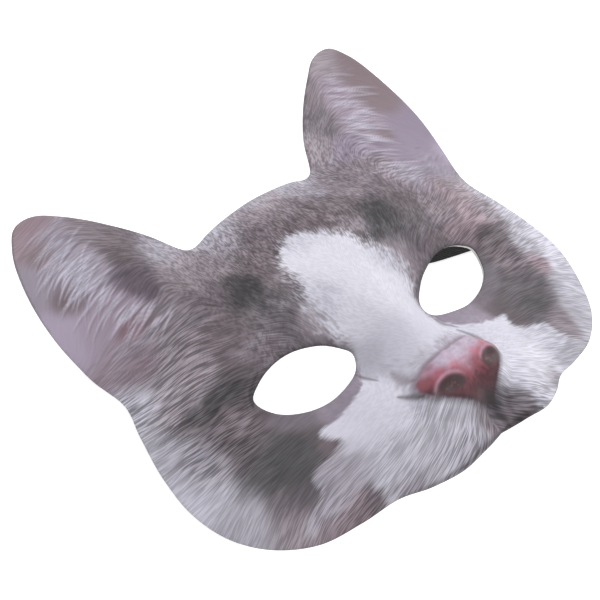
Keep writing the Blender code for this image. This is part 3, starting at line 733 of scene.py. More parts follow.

# Single drawn lines: lids, the mouth's cleft, and painted shade in the creases by the nose and down its
# left side. Points run through the bend.
LINES = (
    # name, x0, y0, x1, y1, x2, y2, width, ink, strength
    # Painted shade in the creases beside and under the left nose wing
    ("left_crease", -24.5, -60.5, -22.2, -63.5, -20.6, -68.5, 1.5, "soft_ink", 0.58),
    ("left_crease_low", -20.6, -67.5, -19.6, -71.5, -16.6, -74.6, 1.2, "soft_ink", 0.20),
    # Painted shade down the left side of the nose
    ("left_nose_side_painted_shade", -17.2, -50.0, -18.0, -55.5, -17.0, -60.5, 2.0, "taupe", 0.46),
    ("left_eye_corner", -66.8, -25.5, -64.3, -19.8, -57.5, -15.6, 0.9, "ink", 0.50),
    ("left_eye_fold", -69.2, -25.0, -66.3, -18.3, -59.8, -13.4, 0.9, "soft_ink", 0.34),
    ("left_tear", -24.6, -39.6, -23.6, -43.5, -22.4, -48.5, 1.1, "brow_grey", 0.62),
    # Painted shadow down the left side of the bridge, below the eye's inner corner
    ("left_tear_shadow", -21.0, -33.5, -21.5, -40.0, -21.0, -47.0, 2.2, "mist", 0.40),
    ("right_tear", 21.6, -38.0, 21.8, -44.0, 22.6, -50.0, 0.8, "brow_grey", 0.55),
    ("right_nose_line", 21.0, -51.0, 22.5, -59.0, 23.8, -66.0, 1.0, "brow_grey", 0.55),
    ("cleft", 2.2, -84.0, 3.2, -89.0, 4.5, -96.5, 2.4, "ink", 0.55),
    ("lip_left", 3.0, -96.4, -8.0, -97.6, -24.0, -98.6, 1.6, "soft_ink", 0.60),
    ("lip_left_outer", -22.0, -98.6, -34.0, -96.5, -48.0, -90.5, 1.2, "soft_ink", 0.46),
    ("lip_right", 3.0, -96.4, 11.0, -97.8, 22.0, -98.8, 1.8, "ink", 0.66),
)

# Nose leather: its edge from the top left, clockwise, and the nostrils as (x, y) pairs
LEATHER_EDGE = (
    (-14.0, -60.4), (-6.0, -60.0), (0.0, -60.3), (6.0, -60.0), (14.0, -60.4), (18.0, -62.2),
    (20.3, -66.2), (19.4, -69.8), (16.4, -73.6), (11.6, -77.6), (8.0, -80.6), (4.6, -84.2),
    (2.0, -86.0), (-1.0, -84.9), (-5.6, -82.6), (-10.6, -79.6), (-15.6, -75.0),
    (-19.0, -70.2), (-20.3, -66.6), (-18.0, -62.4),
)
NOSTRIL_EDGE = (
    (5.8, -74.0), (6.9, -71.5), (9.3, -69.8), (12.4, -69.2), (15.2, -69.8), (16.7, -71.3),
    (15.4, -73.0), (12.4, -74.8), (9.4, -75.7), (6.8, -75.6),
)

# Colours within the leather: its print, with a painted highlight on the top plane and ridge and painted
# shade low down
LEATHER_SHADES = (
    # name, side, x, y, reach, ink, grain
    # Painted highlight on the top plane and the tops of the wings
    ("top_plane", 0, 0, -63.6, 3.6, "leather_sheen", 0.0),
    ("top_side", 0, 8, -63.6, 3.2, "leather_sheen", 0.0),
    ("wing_top", 0, 14, -62.2, 2.0, "leather_lilac_sheen", 0.0),
    ("wing", 0, 18, -65.6, 2.8, "leather_wing", 0.0),
    ("wing_low", 0, 19, -69.6, 2.0, "leather_deep", 0.0),
    ("shoulder", 0, 12, -66.8, 1.8, "leather_pink", 0.0),
    ("shoulder_inner", 0, 6.5, -68.0, 1.8, "leather_pink", 0.0),
    # Painted highlight along the ridge
    ("ridge_high", -1, 1.5, -68.5, 2.0, "leather_lilac_sheen", 0.0),
    ("ridge", -1, 1.6, -71.5, 1.2, "leather_lilac_sheen", 0.0),
    ("middle", 0, 3.4, -73.0, 2.4, "leather_red", 0.0),
    # Darker low down: partly the leather's print, partly painted shade where it faces down
    ("middle_low", 0, 3.5, -76.5, 2.6, "leather_deep", 0.0),
    ("low", 0, 4, -80.0, 2.8, "leather_low", 0.0),
    ("bottom", 1, 2, -84.0, 2.6, "leather_dark", 0.0),
    ("under_nostril", 0, 12, -77.6, 2.2, "leather_low", 0.0),
)


def srgb_to_linear(values):
    values = np.asarray(values, float)
    return np.where(values <= 0.04045, values / 12.92, ((values + 0.055) / 1.055) ** 2.4)


def ink(name):
    """A named ink as sRGB shares."""
    text = INKS[name]
    return np.array([int(text[i : i + 2], 16) / 255 for i in (0, 2, 4)])


def linear_ink(name):
    return (*srgb_to_linear(ink(name)), 1.0)


def smooth_step(low, high, values):
    t = np.clip((values - low) / (high - low), 0, 1)
    return t * t * (3 - 2 * t)


def bell(values, reach):
    """1 where the values are 0, falling away smoothly over about the reach."""
    return np.exp(-((values / reach) ** 2))


def halves(side, x=1):
    """The signs of x that a row is drawn at. On the middle line it is drawn once."""
    if side == 0 and x:
        return (1, -1)
    return (side or 1,)


def curve_through(points, steps):
    """Points on a smooth open curve through the given ones, with that many steps after each."""
    points = np.asarray(points, float)
    ends = np.vstack([2 * points[0] - points[1], points, 2 * points[-1] - points[-2]])
    found = []
    for i, count in enumerate(steps):
        p0, p1, p2, p3 = ends[i : i + 4]
        t0 = 0.0
        t1 = t0 + math.sqrt(np.linalg.norm(p1 - p0))
        t2 = t1 + math.sqrt(np.linalg.norm(p2 - p1))
        t3 = t2 + math.sqrt(np.linalg.norm(p3 - p2))
        for t in np.linspace(t1, t2, count, endpoint=False):
            a1 = (t1 - t) / (t1 - t0) * p0 + (t - t0) / (t1 - t0) * p1
            a2 = (t2 - t) / (t2 - t1) * p1 + (t - t1) / (t2 - t1) * p2
            a3 = (t3 - t) / (t3 - t2) * p2 + (t - t2) / (t3 - t2) * p3
            b1 = (t2 - t) / (t2 - t0) * a1 + (t - t0) / (t2 - t0) * a2
            b2 = (t3 - t) / (t3 - t1) * a2 + (t - t1) / (t3 - t1) * a3
            found.append((t2 - t) / (t2 - t1) * b1 + (t - t1) / (t2 - t1) * b2)
    found.append(points[-1])
    return np.array(found)


def closed_curve(points, steps):
    """A smooth closed curve through the points, its last point not repeated."""
    points = np.asarray(points, float)
    around = np.vstack([points[-2:], points, points[:2]])
    fine = curve_through(around, [steps] * (len(around) - 1))
    return fine[2 * steps : (2 + len(points)) * steps]


class FaceSurface:
    """The height of the mask's front over any point, smooth through the rows of the tables."""

    def __init__(self):
        scale = (MASK_WIDTH / 2, MASK_HEIGHT, MASK_DEPTH)
        self.outline = np.array([row[1:4] for row in OUTLINE]) * scale
        self.outline[:, 2] = np.maximum(self.outline[:, 2], REST_EDGE_LIFT)
        self.rim = np.array([row[1:4] for row in EYE_RIM]) * (EYE_WIDTH, EYE_HEIGHT, MASK_DEPTH)
        self.rim += (EYE_OUT, EYE_UP, 0)
        face = np.array([row[1:4] for row in FACE]) * scale
        self.known = np.vstack([self.outline, self.rim, face])
        count = len(self.known)
        system = np.zeros((count + 2, count + 2))
        system[:count, :count] = self.kernel(self.known[:, 0], self.known[:, 1])
        system[:count, count] = 1
        system[:count, count + 1] = self.known[:, 1]
        system[count, :count] = 1
        system[count + 1, :count] = self.known[:, 1]
        heights = np.zeros(count + 2)
        heights[:count] = self.known[:, 2]
        self.weights = np.linalg.solve(system, heights)
        self.nose_y, self.nose_rows = self.nose_table()

    def kernel(self, x, y):
        """Cubed distances to the known points and to their mirror images."""
        dy = y[:, None] - self.known[None, :, 1]
        near = np.hypot(x[:, None] - self.known[None, :, 0], dy)
        far = np.hypot(x[:, None] + self.known[None, :, 0], dy)
        return near**3 + far**3

    def nose_table(self):
        """The nose's rows read off at even heights, with the corners between rows rounded."""
        rows = np.array([row[1:] for row in NOSE])[::-1]
        rows = rows * (MASK_HEIGHT, MASK_DEPTH, MASK_WIDTH / 2, 1)
        y = np.linspace(rows[0, 0], rows[-1, 0], NOSE_READINGS)
        window = np.hanning(NOSE_ROUNDING)
        window /= window.sum()
        columns = []
        for i in (1, 2, 3):
            column = np.pad(np.interp(y, rows[:, 0], rows[:, i]), NOSE_ROUNDING // 2, mode="edge")
            columns.append(np.convolve(column, window, mode="valid"))
        return y, np.stack(columns, axis=1)

    def nose(self, x, y):
        rise, half_width, square = (
            np.interp(y, self.nose_y, self.nose_rows[:, i]) for i in range(3)
        )
        across = np.clip(np.abs(x) / half_width, 0, 1)
        return rise * (1 - across ** (2 * square)) ** 2

    def details(self, x, y):
        total = np.zeros_like(x)
        for _, cx, cy, rise, reach_x, reach_y in DETAILS:
            dy = (y - cy * MASK_HEIGHT) / (reach_y * MASK_HEIGHT)
            dx = (np.abs(x) - cx * MASK_WIDTH / 2) / (reach_x * MASK_WIDTH / 2)
            total += rise * MASK_DEPTH * np.exp(-(dx**2) - dy**2)
        return total

    def height(self, x, y, at_once=20000):
        x = np.atleast_1d(np.asarray(x, float))
        y = np.atleast_1d(np.asarray(y, float))
        count = len(self.known)
        found = np.empty(len(x))
        for part in np.array_split(np.arange(len(x)), max(1, len(x) // at_once)):
            smooth = self.kernel(x[part], y[part]) @ self.weights[:count]
            found[part] = smooth + self.weights[count] + self.weights[count + 1] * y[part]
        return found + self.nose(x, y) + self.details(x, y)

    def normal(self, x, y, step=0.0002):
        slope_x = (self.height(x + step, y) - self.height(x - step, y)) / (2 * step)
        slope_y = (self.height(x, y + step) - self.height(x, y - step)) / (2 * step)
        normals = np.stack([-slope_x, -slope_y, np.ones_like(slope_x)], axis=1)
        return normals / np.linalg.norm(normals, axis=1, keepdims=True)

    def front(self, x, y):
        return np.stack([x, y, self.height(x, y)], axis=1)

    def behind(self, x, y, depth):
        depth = np.broadcast_to(depth, np.shape(x))[:, None]
        return self.front(x, y) - self.normal(x, y) * depth


SURFACE = FaceSurface()


def edge_loops():
    """The outline and the two eye rims as closed fine curves on the mask's plane."""
    steps = [max(OUTLINE_FEWEST, row[4] * OUTLINE_FINENESS) for row in OUTLINE[:-1]]
    right = curve_through(SURFACE.outline[:, :2], steps)
    left = right[-2:0:-1] * (-1, 1)
    eye = closed_curve(SURFACE.rim[:, :2], EYE_FINENESS)
    return [np.vstack([right, left]), eye, (eye * (-1, 1))[::-1]]


LOOPS = edge_loops()


def inside_loop(loop, axis_x, axis_y):
    """For each grid point whether it is inside the closed loop, row by row."""
    a, b = loop, np.roll(loop, -1, axis=0)
    inside = np.zeros((len(axis_y), len(axis_x)), bool)
    for row, y in enumerate(axis_y):
        crossing = (a[:, 1] > y) != (b[:, 1] > y)
        if crossing.any():
            p, q = a[crossing], b[crossing]
            at = np.sort(p[:, 0] + (y - p[:, 1]) / (q[:, 1] - p[:, 1]) * (q[:, 0] - p[:, 0]))
            inside[row] = np.searchsorted(at, axis_x) % 2 == 1
    return inside


def nearest_on_loops(points, loops, at_once=4000):
    """The nearest point on any loop, its distance, and how far round its loop it lies."""
    best = np.full(len(points), np.inf)
    spots = np.zeros((len(points), 2))
    shares = np.zeros(len(points))
    for loop in loops:
        run = np.roll(loop, -1, axis=0) - loop
        length = np.maximum((run**2).sum(1), 1e-18)
        for part in np.array_split(np.arange(len(points)), max(1, len(points) // at_once)):
            p = points[part]
            gap = p[:, None] - loop[None]
            i = (gap**2).sum(2).argmin(1)
            for k in (i, (i - 1) % len(loop)):
                t = np.clip(((p - loop[k]) * run[k]).sum(1) / length[k], 0, 1)
                spot = loop[k] + run[k] * t[:, None]
                far = np.hypot(*(p - spot).T)
                better = far < best[part]
                chosen = part[better]
                best[chosen] = far[better]
                spots[chosen] = spot[better]
                shares[chosen] = (k + t)[better]
    return spots, best, shares


def sheet_axes(margin, fine, coarse):
    """Grid positions across and up the mask, closer together round the nose."""
    half_width, half_height = MASK_WIDTH / 2 + margin, MASK_HEIGHT / 2 + margin
    axis_x = graded_axis(-half_width, half_width, FINE_X, fine, coarse)
    axis_y = graded_axis(-half_height, half_height, FINE_Y, fine, coarse)
    return axis_x, axis_y


def graded_axis(low, high, fine_part, fine, coarse, readings=2001):
    """Positions from low to high that stand closer within the fine part."""
    at = np.linspace(low, high, readings)
    start, end = fine_part
    near = smooth_step(start - FINE_EASE, start, at) * smooth_step(-end - FINE_EASE, -end, -at)
    step = coarse + (fine - coarse) * near
    count = np.concatenate([[0], np.cumsum(np.diff(at) / ((step[1:] + step[:-1]) / 2))])
    return np.interp(np.arange(math.floor(count[-1]) + 1), count, at)


def outline_sheet(axis_x, axis_y, inset):
    """A flat bmesh grid cut to the outline and the eyes; each vertex remembers its grid cell."""
    bm = bmesh.new()
    cell = bm.verts.layers.int.new("cell")
    count_x, count_y = len(axis_x), len(axis_y)
    bmesh.ops.create_grid(bm, x_segments=count_x - 1, y_segments=count_y - 1, size=1)
    kept = kept_cells(axis_x, axis_y)
    outside = []
    for vert in bm.verts:
        ix = round((vert.co.x + 1) / 2 * (count_x - 1))
        iy = round((vert.co.y + 1) / 2 * (count_y - 1))
        vert.co = (axis_x[ix], axis_y[iy], 0)
        vert[cell] = iy * count_x + ix
        if not kept[iy, ix]:
            outside.append(vert)
    bmesh.ops.delete(bm, geom=outside, context="VERTS")
    trim_spurs(bm)
    snap_to_loops(bm, inset)
    return bm


def kept_cells(axis_x, axis_y):
    """Grid points inside the outline and outside the eyes, with those just across an edge."""
    kept = inside_loop(LOOPS[0], axis_x, axis_y)
    for loop in LOOPS[1:]:
        kept &= ~inside_loop(loop, axis_x, axis_y)
    near = np.zeros_like(kept)
    for shift, axis in ((1, 0), (-1, 0), (1, 1), (-1, 1)):
        near |= np.roll(kept, shift, axis) != kept
    rows, columns = np.nonzero(near & ~kept)
    points = np.stack([axis_x[columns], axis_y[rows]], axis=1)
    _, far, _ = nearest_on_loops(points, LOOPS)
    cell = (np.diff(axis_x).min() + np.diff(axis_y).min()) / 2
    close = far < EDGE_SHARE * cell
    kept[rows[close], columns[close]] = True
    return kept


def trim_spurs(bm, rounds=4):
    """Removes faces that hang on by one edge, and loose vertices."""
    for _ in range(rounds):
        spurs = [f for f in bm.faces if sum(len(e.link_faces) == 1 for e in f.edges) >= 3]
        if not spurs:
            break
        bmesh.ops.delete(bm, geom=spurs, context="FACES")
    loose = [v for v in bm.verts if not v.link_faces]
    bmesh.ops.delete(bm, geom=loose, context="VERTS")


def snap_to_loops(bm, inset):
    """Moves the sheet's border onto the outline and the eye rims, or that far inside them."""
    border = [v for v in bm.verts if v.is_boundary]
    spots, _, _ = nearest_on_loops(flat_points(border), LOOPS)
    for vert, spot in zip(border, spots):
        vert.co = (spot[0], spot[1], 0)
    if not inset:
        return
    for vert in border:
        inner = [e.other_vert(vert).co for e in vert.link_edges if not e.is_boundary]
        if inner:
            toward = sum((co - vert.co for co in inner[1:]), inner[0] - vert.co)
            vert.co = vert.co + toward.normalized() * inset


def flat_points(verts):
    return np.array([v.co[:2] for v in verts])


def set_places(verts, points):
    points[:, 2] = np.maximum(points[:, 2], FLOOR_CLEARANCE)
    for vert, point in zip(verts, points):
        vert.co = point


def new_verts(made):
    return [v for v in made if isinstance(v, bmesh.types.BMVert)]


def mesh_from(name, bm):
    mesh_data = bpy.data.meshes.new(name)
    bm.to_mesh(mesh_data)
    bm.free()
    return mesh_data


def add_piece(name, mesh_data, made):
    """A smooth-shaded object at the origin, in the given material."""
    mesh_data.materials.append(made)
    mesh_data.polygons.foreach_set("use_smooth", [True] * len(mesh_data.polygons))
    obj = bpy.data.objects.new(name, mesh_data)
    bpy.context.scene.collection.objects.link(obj)
    return obj


# Painting


def hair_length(X, Y):
    """0 for the forehead's short hairs, 1 for the long ones of brows, cheeks, ears and pads."""
    outward = smooth_step(*LONG_OUTWARD, np.abs(X) + LONG_SOONER * np.maximum(-Y, 0))
    across = (np.abs(X) - LONG_BROW_PLACE[0]) / LONG_BROW_REACH[0]
    up = (Y - LONG_BROW_PLACE[1]) / LONG_BROW_REACH[1]
    brow = LONG_BROW_SHARE * np.exp(-(across**2) - up**2)
    return np.maximum(np.maximum(outward, brow), smooth_step(*LONG_DOWNWARD, Y))


class Canvas:
    """The print over a grid on the mask's plane: sRGB colours, and what the hairs' nodes need."""

    def __init__(self, axis_x, axis_y):
        self.x = axis_x * 1000
        self.y = axis_y * 1000
        self.X, self.Y = np.meshgrid(self.x, self.y)
        self.shape = self.X.shape
        self.random = np.random.default_rng(PAINT_SEED)
        self.tables = self.random.random((NOISE_TABLES, NOISE_SIDE, NOISE_SIDE))
        self.flow = self.hair_flow(self.X, self.Y)

    def noise(self, layer, X, Y, size):
        """Smooth random values from 0 to 1 whose lumps are about size millimetres."""
        table = self.tables[layer]
        u = X / size + 91.3 + layer * 17.7
        v = Y / size + 63.1 + layer * 29.3
        iu, iv = np.floor(u).astype(int), np.floor(v).astype(int)
        fu, fv = u - iu, v - iv
        fu, fv = fu * fu * (3 - 2 * fu), fv * fv * (3 - 2 * fv)
        a = table[iv % NOISE_SIDE, iu % NOISE_SIDE]
        b = table[iv % NOISE_SIDE, (iu + 1) % NOISE_SIDE]
        c = table[(iv + 1) % NOISE_SIDE, iu % NOISE_SIDE]
        d = table[(iv + 1) % NOISE_SIDE, (iu + 1) % NOISE_SIDE]
        return (a * (1 - fu) + b * fu) * (1 - fv) + (c * (1 - fu) + d * fu) * fv

    def hair_flow(self, X, Y, sides=(1, -1), blur=30):
        """Unit direction of the hairs at any points, with a slight wander."""
        total = np.zeros((2, *X.shape))
        for _, x, y, angle in FUR_LAY:
            toward = math.radians(angle)
            for side in sides:
                far = (X - side * x) ** 2 + (Y - y) ** 2
                weight = 1 / (far + blur) ** 2
                total[0] += weight * side * math.cos(toward)
                total[1] += weight * math.sin(toward)
        angle = np.arctan2(total[1], total[0])
        angle += (self.noise(WANDER_TABLE, X, Y, WANDER_SIZE) - 0.5) * WANDER
        return np.stack([np.cos(angle), np.sin(angle)])

    def across_hairs(self, near):
        """A field that hardly changes along a hair and grows by about 1 per millimetre across it.

        It is the least squares fit to the right half's lay, closest where near is high, found by
        conjugate gradients on a coarse grid. The left half gets its mirror image.
        """
        step = FIELD_STEP
        spots = [
            np.arange(FIELD_START, self.x[-1] + FIELD_MARGIN, step),
            np.arange(self.y[0] - FIELD_MARGIN, self.y[-1] + FIELD_MARGIN, step),
        ]
        X, Y = np.meshgrid(*((values[1:] + values[:-1]) / 2 for values in spots))
        along = self.hair_flow(X, Y, (1,))
        across = np.stack([-along[1], along[0]])
        weight = near(X, Y) + 0.01

        def slopes(field):
            rising = field[1:, 1:] - field[:-1, :-1]
            falling = field[1:, :-1] - field[:-1, 1:]
            return np.stack([rising - falling, rising + falling]) / (2 * step)

        def gathered(slope):
            total = np.zeros((len(spots[1]), len(spots[0])))
            rising = (slope[0] + slope[1]) / (2 * step)
            falling = (slope[1] - slope[0]) / (2 * step)
            total[1:, 1:] += rising
            total[:-1, :-1] -= rising
            total[1:, :-1] += falling
            total[:-1, 1:] -= falling
            return total

        def pull(field):
            slope = slopes(field)
            kept = weight * (slope * along).sum(0) * along
            kept += weight * FIELD_LOOSENESS * (slope * across).sum(0) * across
            return gathered(kept) + 1e-6 * field

        field = np.zeros((len(spots[1]), len(spots[0])))
        rest = gathered(weight * FIELD_LOOSENESS * across)
        heading = rest.copy()
        size = (rest * rest).sum()
        for _ in range(FIELD_ROUNDS):
            pulled = pull(heading)
            pace = size / (heading * pulled).sum()
            field += pace * heading
            rest -= pace * pulled
            size, before = (rest * rest).sum(), size
            heading = rest + size / before * heading
        fine = self.spread_field(field, spots)
        return np.where(self.x < 0, FIELD_MIRROR - fine, fine)

    def spread_field(self, field, spots):
        """The coarse field at the print's own points, mirrored, as a smooth sum of cosines."""
        waves = []
        for values, at in zip(spots, (np.abs(self.x), self.y)):
            k = np.arange(len(values))[:, None]
            height = np.where(k == 0, math.sqrt(0.5), 1) * math.sqrt(2 / len(values))
            turn = math.pi * k / (FIELD_STEP * len(values))
            start = values[0] - FIELD_STEP / 2
            waves.append([height * np.cos(turn * (place - start)[None]) for place in (values, at)])
        weights = waves[1][0] @ field @ waves[0][0].T
        return waves[1][1].T @ weights @ waves[0][1]

    def grid_place(self, X, Y):
        """Where points lie on the grid, in cells across and up."""
        u = np.interp(X, self.x, np.arange(len(self.x)))
        v = np.interp(Y, self.y, np.arange(len(self.y)))
        return u, v

    def sample(self, field, X, Y):
        """Values of a grid field at any points."""
        u, v = self.grid_place(X, Y)
        iu = np.minimum(u.astype(int), len(self.x) - 2)
        iv = np.minimum(v.astype(int), len(self.y) - 2)
        fu, fv = u - iu, v - iv
        top = field[iv, iu] * (1 - fu) + field[iv, iu + 1] * fu
        low = field[iv + 1, iu] * (1 - fu) + field[iv + 1, iu + 1] * fu
        return top * (1 - fv) + low * fv

    def follow(self, X, Y, run):
        """The points moved along the hairs."""
        X = X + self.sample(self.flow[0], X, Y) * run
        return X, Y + self.sample(self.flow[1], X, Y) * run

    def trace(self, steps):
        """Points before and after each grid point along the hairs, as (X, Y, share of the way)."""
        length = STREAK_LENGTH + STREAK_LONGER_OUTWARD * smooth_step(30, 80, np.abs(self.X))
        length = length + STREAK_LONGER_DOWNWARD * smooth_step(-50, -85, self.Y)
        traces = [(self.X, self.Y, 0.0)]
        for sign in (1, -1):
            X, Y = self.X, self.Y
            for step in range(1, steps + 1):
                X, Y = self.follow(X, Y, sign * length / steps)
                traces.append((X, Y, step / steps))
        return traces

    def streaks(self, traces, layer, size):
        """Random values drawn out along the hairs, with mean 0 and spread 1."""
        total = np.zeros(self.shape)
        for X, Y, share in traces:
            total += self.noise(layer, X, Y, size) * (0.5 + 0.5 * math.cos(math.pi * share))
        return (total - total.mean()) / total.std()

    def blend(self, rows):
        """Colour and grain of spots that run into each other."""
        color = np.zeros((*self.shape, 3))
        grain = np.zeros(self.shape)
        total = np.zeros(self.shape)
        for _, side, x, y, reach, name, strength in rows:
            for half in halves(side, x):
                far = (self.X - half * x) ** 2 + (self.Y - y) ** 2
                core = np.exp(-far / (SPOT_CORE * reach) ** 2)
                weight = core + SPOT_TAIL / (1 + far / SPOT_TAIL_AREA) ** SPOT_TAIL_POWER
                color += weight[..., None] * ink(name)
                grain += weight * strength
                total += weight
        return color / total[..., None], grain / total

    def hairs(self, starts, angle, length, width, bend=0.0, root=0.25):
        """How much of each grid point a set of hairs covers. angle None follows the lay.

        root is the share of a hair's length over which it comes up out of the coat.
        """
        cover = np.zeros(self.shape)
        steps = max(6, int(np.max(length) / HAIR_STEP))
        X, Y = starts[:, 0], starts[:, 1]
        heading = None if angle is None else np.radians(angle) * np.ones(len(X))
        run = length / steps
        for step in range(steps + 1):
            share = step / steps
            taper = max(0.25, math.sin(math.pi * min(1.0, 0.12 + share * 0.88)) ** 0.6)
            self.dab(cover, X, Y, width * taper, float(smooth_step(-0.1, root, share)))
            if heading is None:
                X, Y = self.follow(X, Y, run)
            else:
                X = X + np.cos(heading) * run
                Y = Y + np.sin(heading) * run
                heading = heading + np.radians(bend) / steps
        return np.minimum(cover, 1)

    def dab(self, cover, X, Y, width, strength=1.0):
        """Soft round touches of the brush, the strongest kept."""
        width = np.broadcast_to(width, X.shape)
        iu, iv = (np.rint(place).astype(int) for place in self.grid_place(X, Y))
        # A hair thinner than the mesh shows is drawn wider and fainter.
        wide = np.maximum(BRUSH_SHARE * width, BRUSH_LEAST)
        thin = BRUSH_SHARE * width / wide * strength
        reach = int(math.ceil(2.2 * float(wide.max()) / (FINE_STEP * 1000)))
        for dv in range(-reach, reach + 1):
            for du in range(-reach, reach + 1):
                cu = np.clip(iu + du, 0, len(self.x) - 1)
                cv = np.clip(iv + dv, 0, len(self.y) - 1)
                far = (self.x[cu] - X) ** 2 + (self.y[cv] - Y) ** 2
                np.maximum.at(cover, (cv, cu), np.exp(-far / (2 * wide**2)) * thin)

    def lay_over(self, colors, name, cover):
        """Mixes an ink over both colour fields, the grey's and the white's."""
        cover = cover[..., None, None]
        return colors * (1 - cover) + ink(name) * cover

    def signed_distance(self, loop, stride=3):
        """Distance inside a closed loop, negative outside, and the place round it, read coarsely."""
        cx = np.append(self.x[::stride], self.x[-1])
        cy = np.append(self.y[::stride], self.y[-1])
        CX, CY = np.meshgrid(cx, cy)
        _, far, share = nearest_on_loops(np.stack([CX.ravel(), CY.ravel()], axis=1), [loop])
        signed = np.where(inside_loop(loop, cx, cy), 1, -1) * far.reshape(CX.shape)
        return self.refine(signed, cx, cy), self.refine(share.reshape(CX.shape), cx, cy)

    def refine(self, coarse, cx, cy):
        across = np.stack([np.interp(self.x, cx, row) for row in coarse])
        return np.stack([np.interp(self.y, cy, column) for column in across.T], axis=1)


def paint_coat(canvas):
    """The grey coat and the white as two fields, and where one gives way to the other."""
    traces = canvas.trace(STREAK_STEPS)
    middle = canvas.streaks(traces, MIDDLE_TABLE, STREAK_SIZES[0])
    broad = canvas.streaks(traces, BROAD_TABLE, STREAK_SIZES[1])
    coat, grain = canvas.blend(COAT)
    white, white_grain = canvas.blend(WHITES)
    canvas.edge = white_edge(canvas, middle, broad)
    canvas.cover = smooth_step(-1, 1, canvas.edge)
    canvas.middle = middle
    canvas.grain = grain * (1 - canvas.cover) + white_grain * canvas.cover
    tone = (canvas.grain * (STREAK_SHARES[0] * middle + STREAK_SHARES[1] * broad))[..., None]
    return np.stack([coat + tone, white + tone], axis=2)


def white_edge(canvas, middle, broad, steps=8):
    """How far inside the white each point is, in shares of the row's softness; tufts cross the edge."""
    points = np.array([row[1:3] for row in WHITE_EDGE])
    signed, share = canvas.signed_distance(closed_curve(points, steps))
    soft = np.append([row[3] for row in WHITE_EDGE], WHITE_EDGE[0][3])
    softness = np.interp(share / steps % len(points), np.arange(len(points) + 1), soft)
    crossing = EDGE_STREAKS * middle + EDGE_STREAKS * broad
    return np.clip(signed / (EDGE_WIDTH * softness) + crossing, -4, 4)


def paint_tufts(canvas, color):
    """Separate hairs, tuft by tuft."""
    fade = 0.55 + 0.45 * canvas.noise(FADE_TABLE, canvas.X, canvas.Y, 4.0)
    for _, side, x, y, spread_x, spread_y, count, length, width, name, strength in TUFTS:
        for half in halves(side):
            starts = canvas.random.normal(size=(count, 2)) * (spread_x / 1.6, spread_y / 1.6)
            starts += (half * x, y)
            long = length * canvas.random.uniform(*TUFT_LENGTHS, count)
            cover = canvas.hairs(starts, None, long, width)
            color = canvas.lay_over(color, name, cover * strength * fade * TUFT_STRENGTH)
    return color


def paint_locks(canvas, color):
    """The long pale hairs inside the ears, with a thin shadow under each."""
    for _, side, x, y, angle, length, bend, count, width, strength in LOCKS:
        spread = canvas.random.normal(size=(count, 2)) * LOCK_SCATTER
        starts = np.array([side * x, y]) + spread
        heading = angle + canvas.random.normal(size=count) * 5
        long = length * canvas.random.uniform(*LOCK_LENGTHS, count)
        curl = bend + canvas.random.normal(size=count) * 6
        if side < 0:
            heading = 180 - heading
            curl = -curl
        under = starts - (0, LOCK_SHADE_DROP)
        shade = canvas.hairs(under, heading, long, width * LOCK_SHADE_WIDTH, curl, LOCK_ROOT)
        color = canvas.lay_over(color, "ear_dusk", shade * strength * LOCK_SHADE)
        cover = canvas.hairs(starts, heading, long, width, curl, LOCK_ROOT)
        color = canvas.lay_over(color, "ear_white", cover * min(1.0, strength * LOCK_STRENGTH))
    return color


def paint_eyes(canvas, color):
    """Lids: a soft dark line round each opening, darker above, and a smooth mauve lower lid."""
    for side, loop in zip((1, -1), LOOPS[1:]):
        signed, _ = canvas.signed_distance(loop * 1000)
        away = np.maximum(-signed, 0)
        up = canvas.Y - EYE_UP * 1000
        out = side * canvas.X - EYE_OUT * 1000
        above = smooth_step(-3, 5, up - 0.18 * out)
        below = smooth_step(2, -4, up + 0.10 * out)
        color = canvas.lay_over(color, "brow_grey", bell(away, 2.6) * above * 0.55)
        color = canvas.lay_over(color, "soft_ink", bell(away, 0.9) * (0.25 + 0.45 * above))
        lid = below * smooth_step(9.5, 4.5, away) * (1 - canvas.cover)
        color = canvas.lay_over(color, "lid_mauve", lid * 0.45)
    return color


def paint_lines(canvas, color):
    """The drawn lines, widest at their middle."""
    for _, x0, y0, x1, y1, x2, y2, width, name, strength in LINES:
        points = curve_through([(x0, y0), (x1, y1), (x2, y2)], [LINE_FINENESS] * 2)
        cover = np.zeros(canvas.shape)
        for point, share in zip(points, np.linspace(0, 1, len(points))):
            wide = width * (0.35 + 0.65 * math.sin(math.pi * share))
            canvas.dab(cover, point[:1], point[1:], wide)
        color = canvas.lay_over(color, name, cover * strength)
    return color


def paint_nose(canvas, color):
    """Nose leather: bluish top plane, pink shoulders, red front, dark nostrils; painted highlight and
    shade, and a painted shadow round it.
    """
    signed, _ = canvas.signed_distance(closed_curve(LEATHER_EDGE, NOSE_EDGE_FINENESS))
    # A painted shadow round the leather's edge, mauve above and darker below
    upper = smooth_step(-63.5, -61.0, canvas.Y)
    shadow = smooth_step(-2.8, -0.2, signed) * smooth_step(1.2, 0.0, signed)
    color = canvas.lay_over(color, "nose_hair_and_shadow", shadow * upper * 0.62)
    color = canvas.lay_over(color, "soft_ink", shadow * (1 - upper) * 0.40)
    leather, _ = canvas.blend(LEATHER_SHADES)
    pores = canvas.noise(PORE_TABLE, canvas.X, canvas.Y, 0.9) - 0.5
    mottle = canvas.noise(FADE_TABLE, canvas.X, canvas.Y, 2.6) - 0.5
    leather = leather * (1 + 0.10 * pores + 0.12 * mottle)[..., None]
    cover = smooth_step(-0.5, 0.5, signed + 0.20 * canvas.middle)[..., None, None]
    color = color * (1 - cover) + leather[:, :, None] * cover
    rim = bell(signed - 0.5, 0.8) * smooth_step(-64, -70, canvas.Y)
    color = canvas.lay_over(color, "leather_dark", rim * 0.55)
    color = paint_leather_hairs(canvas, color, smooth_step(-1.0, 0.5, signed))
    for side in (1, -1):
        color = paint_nostril(canvas, color, side)
    canvas.leather = smooth_step(-0.3, 0.3, signed)
    return color


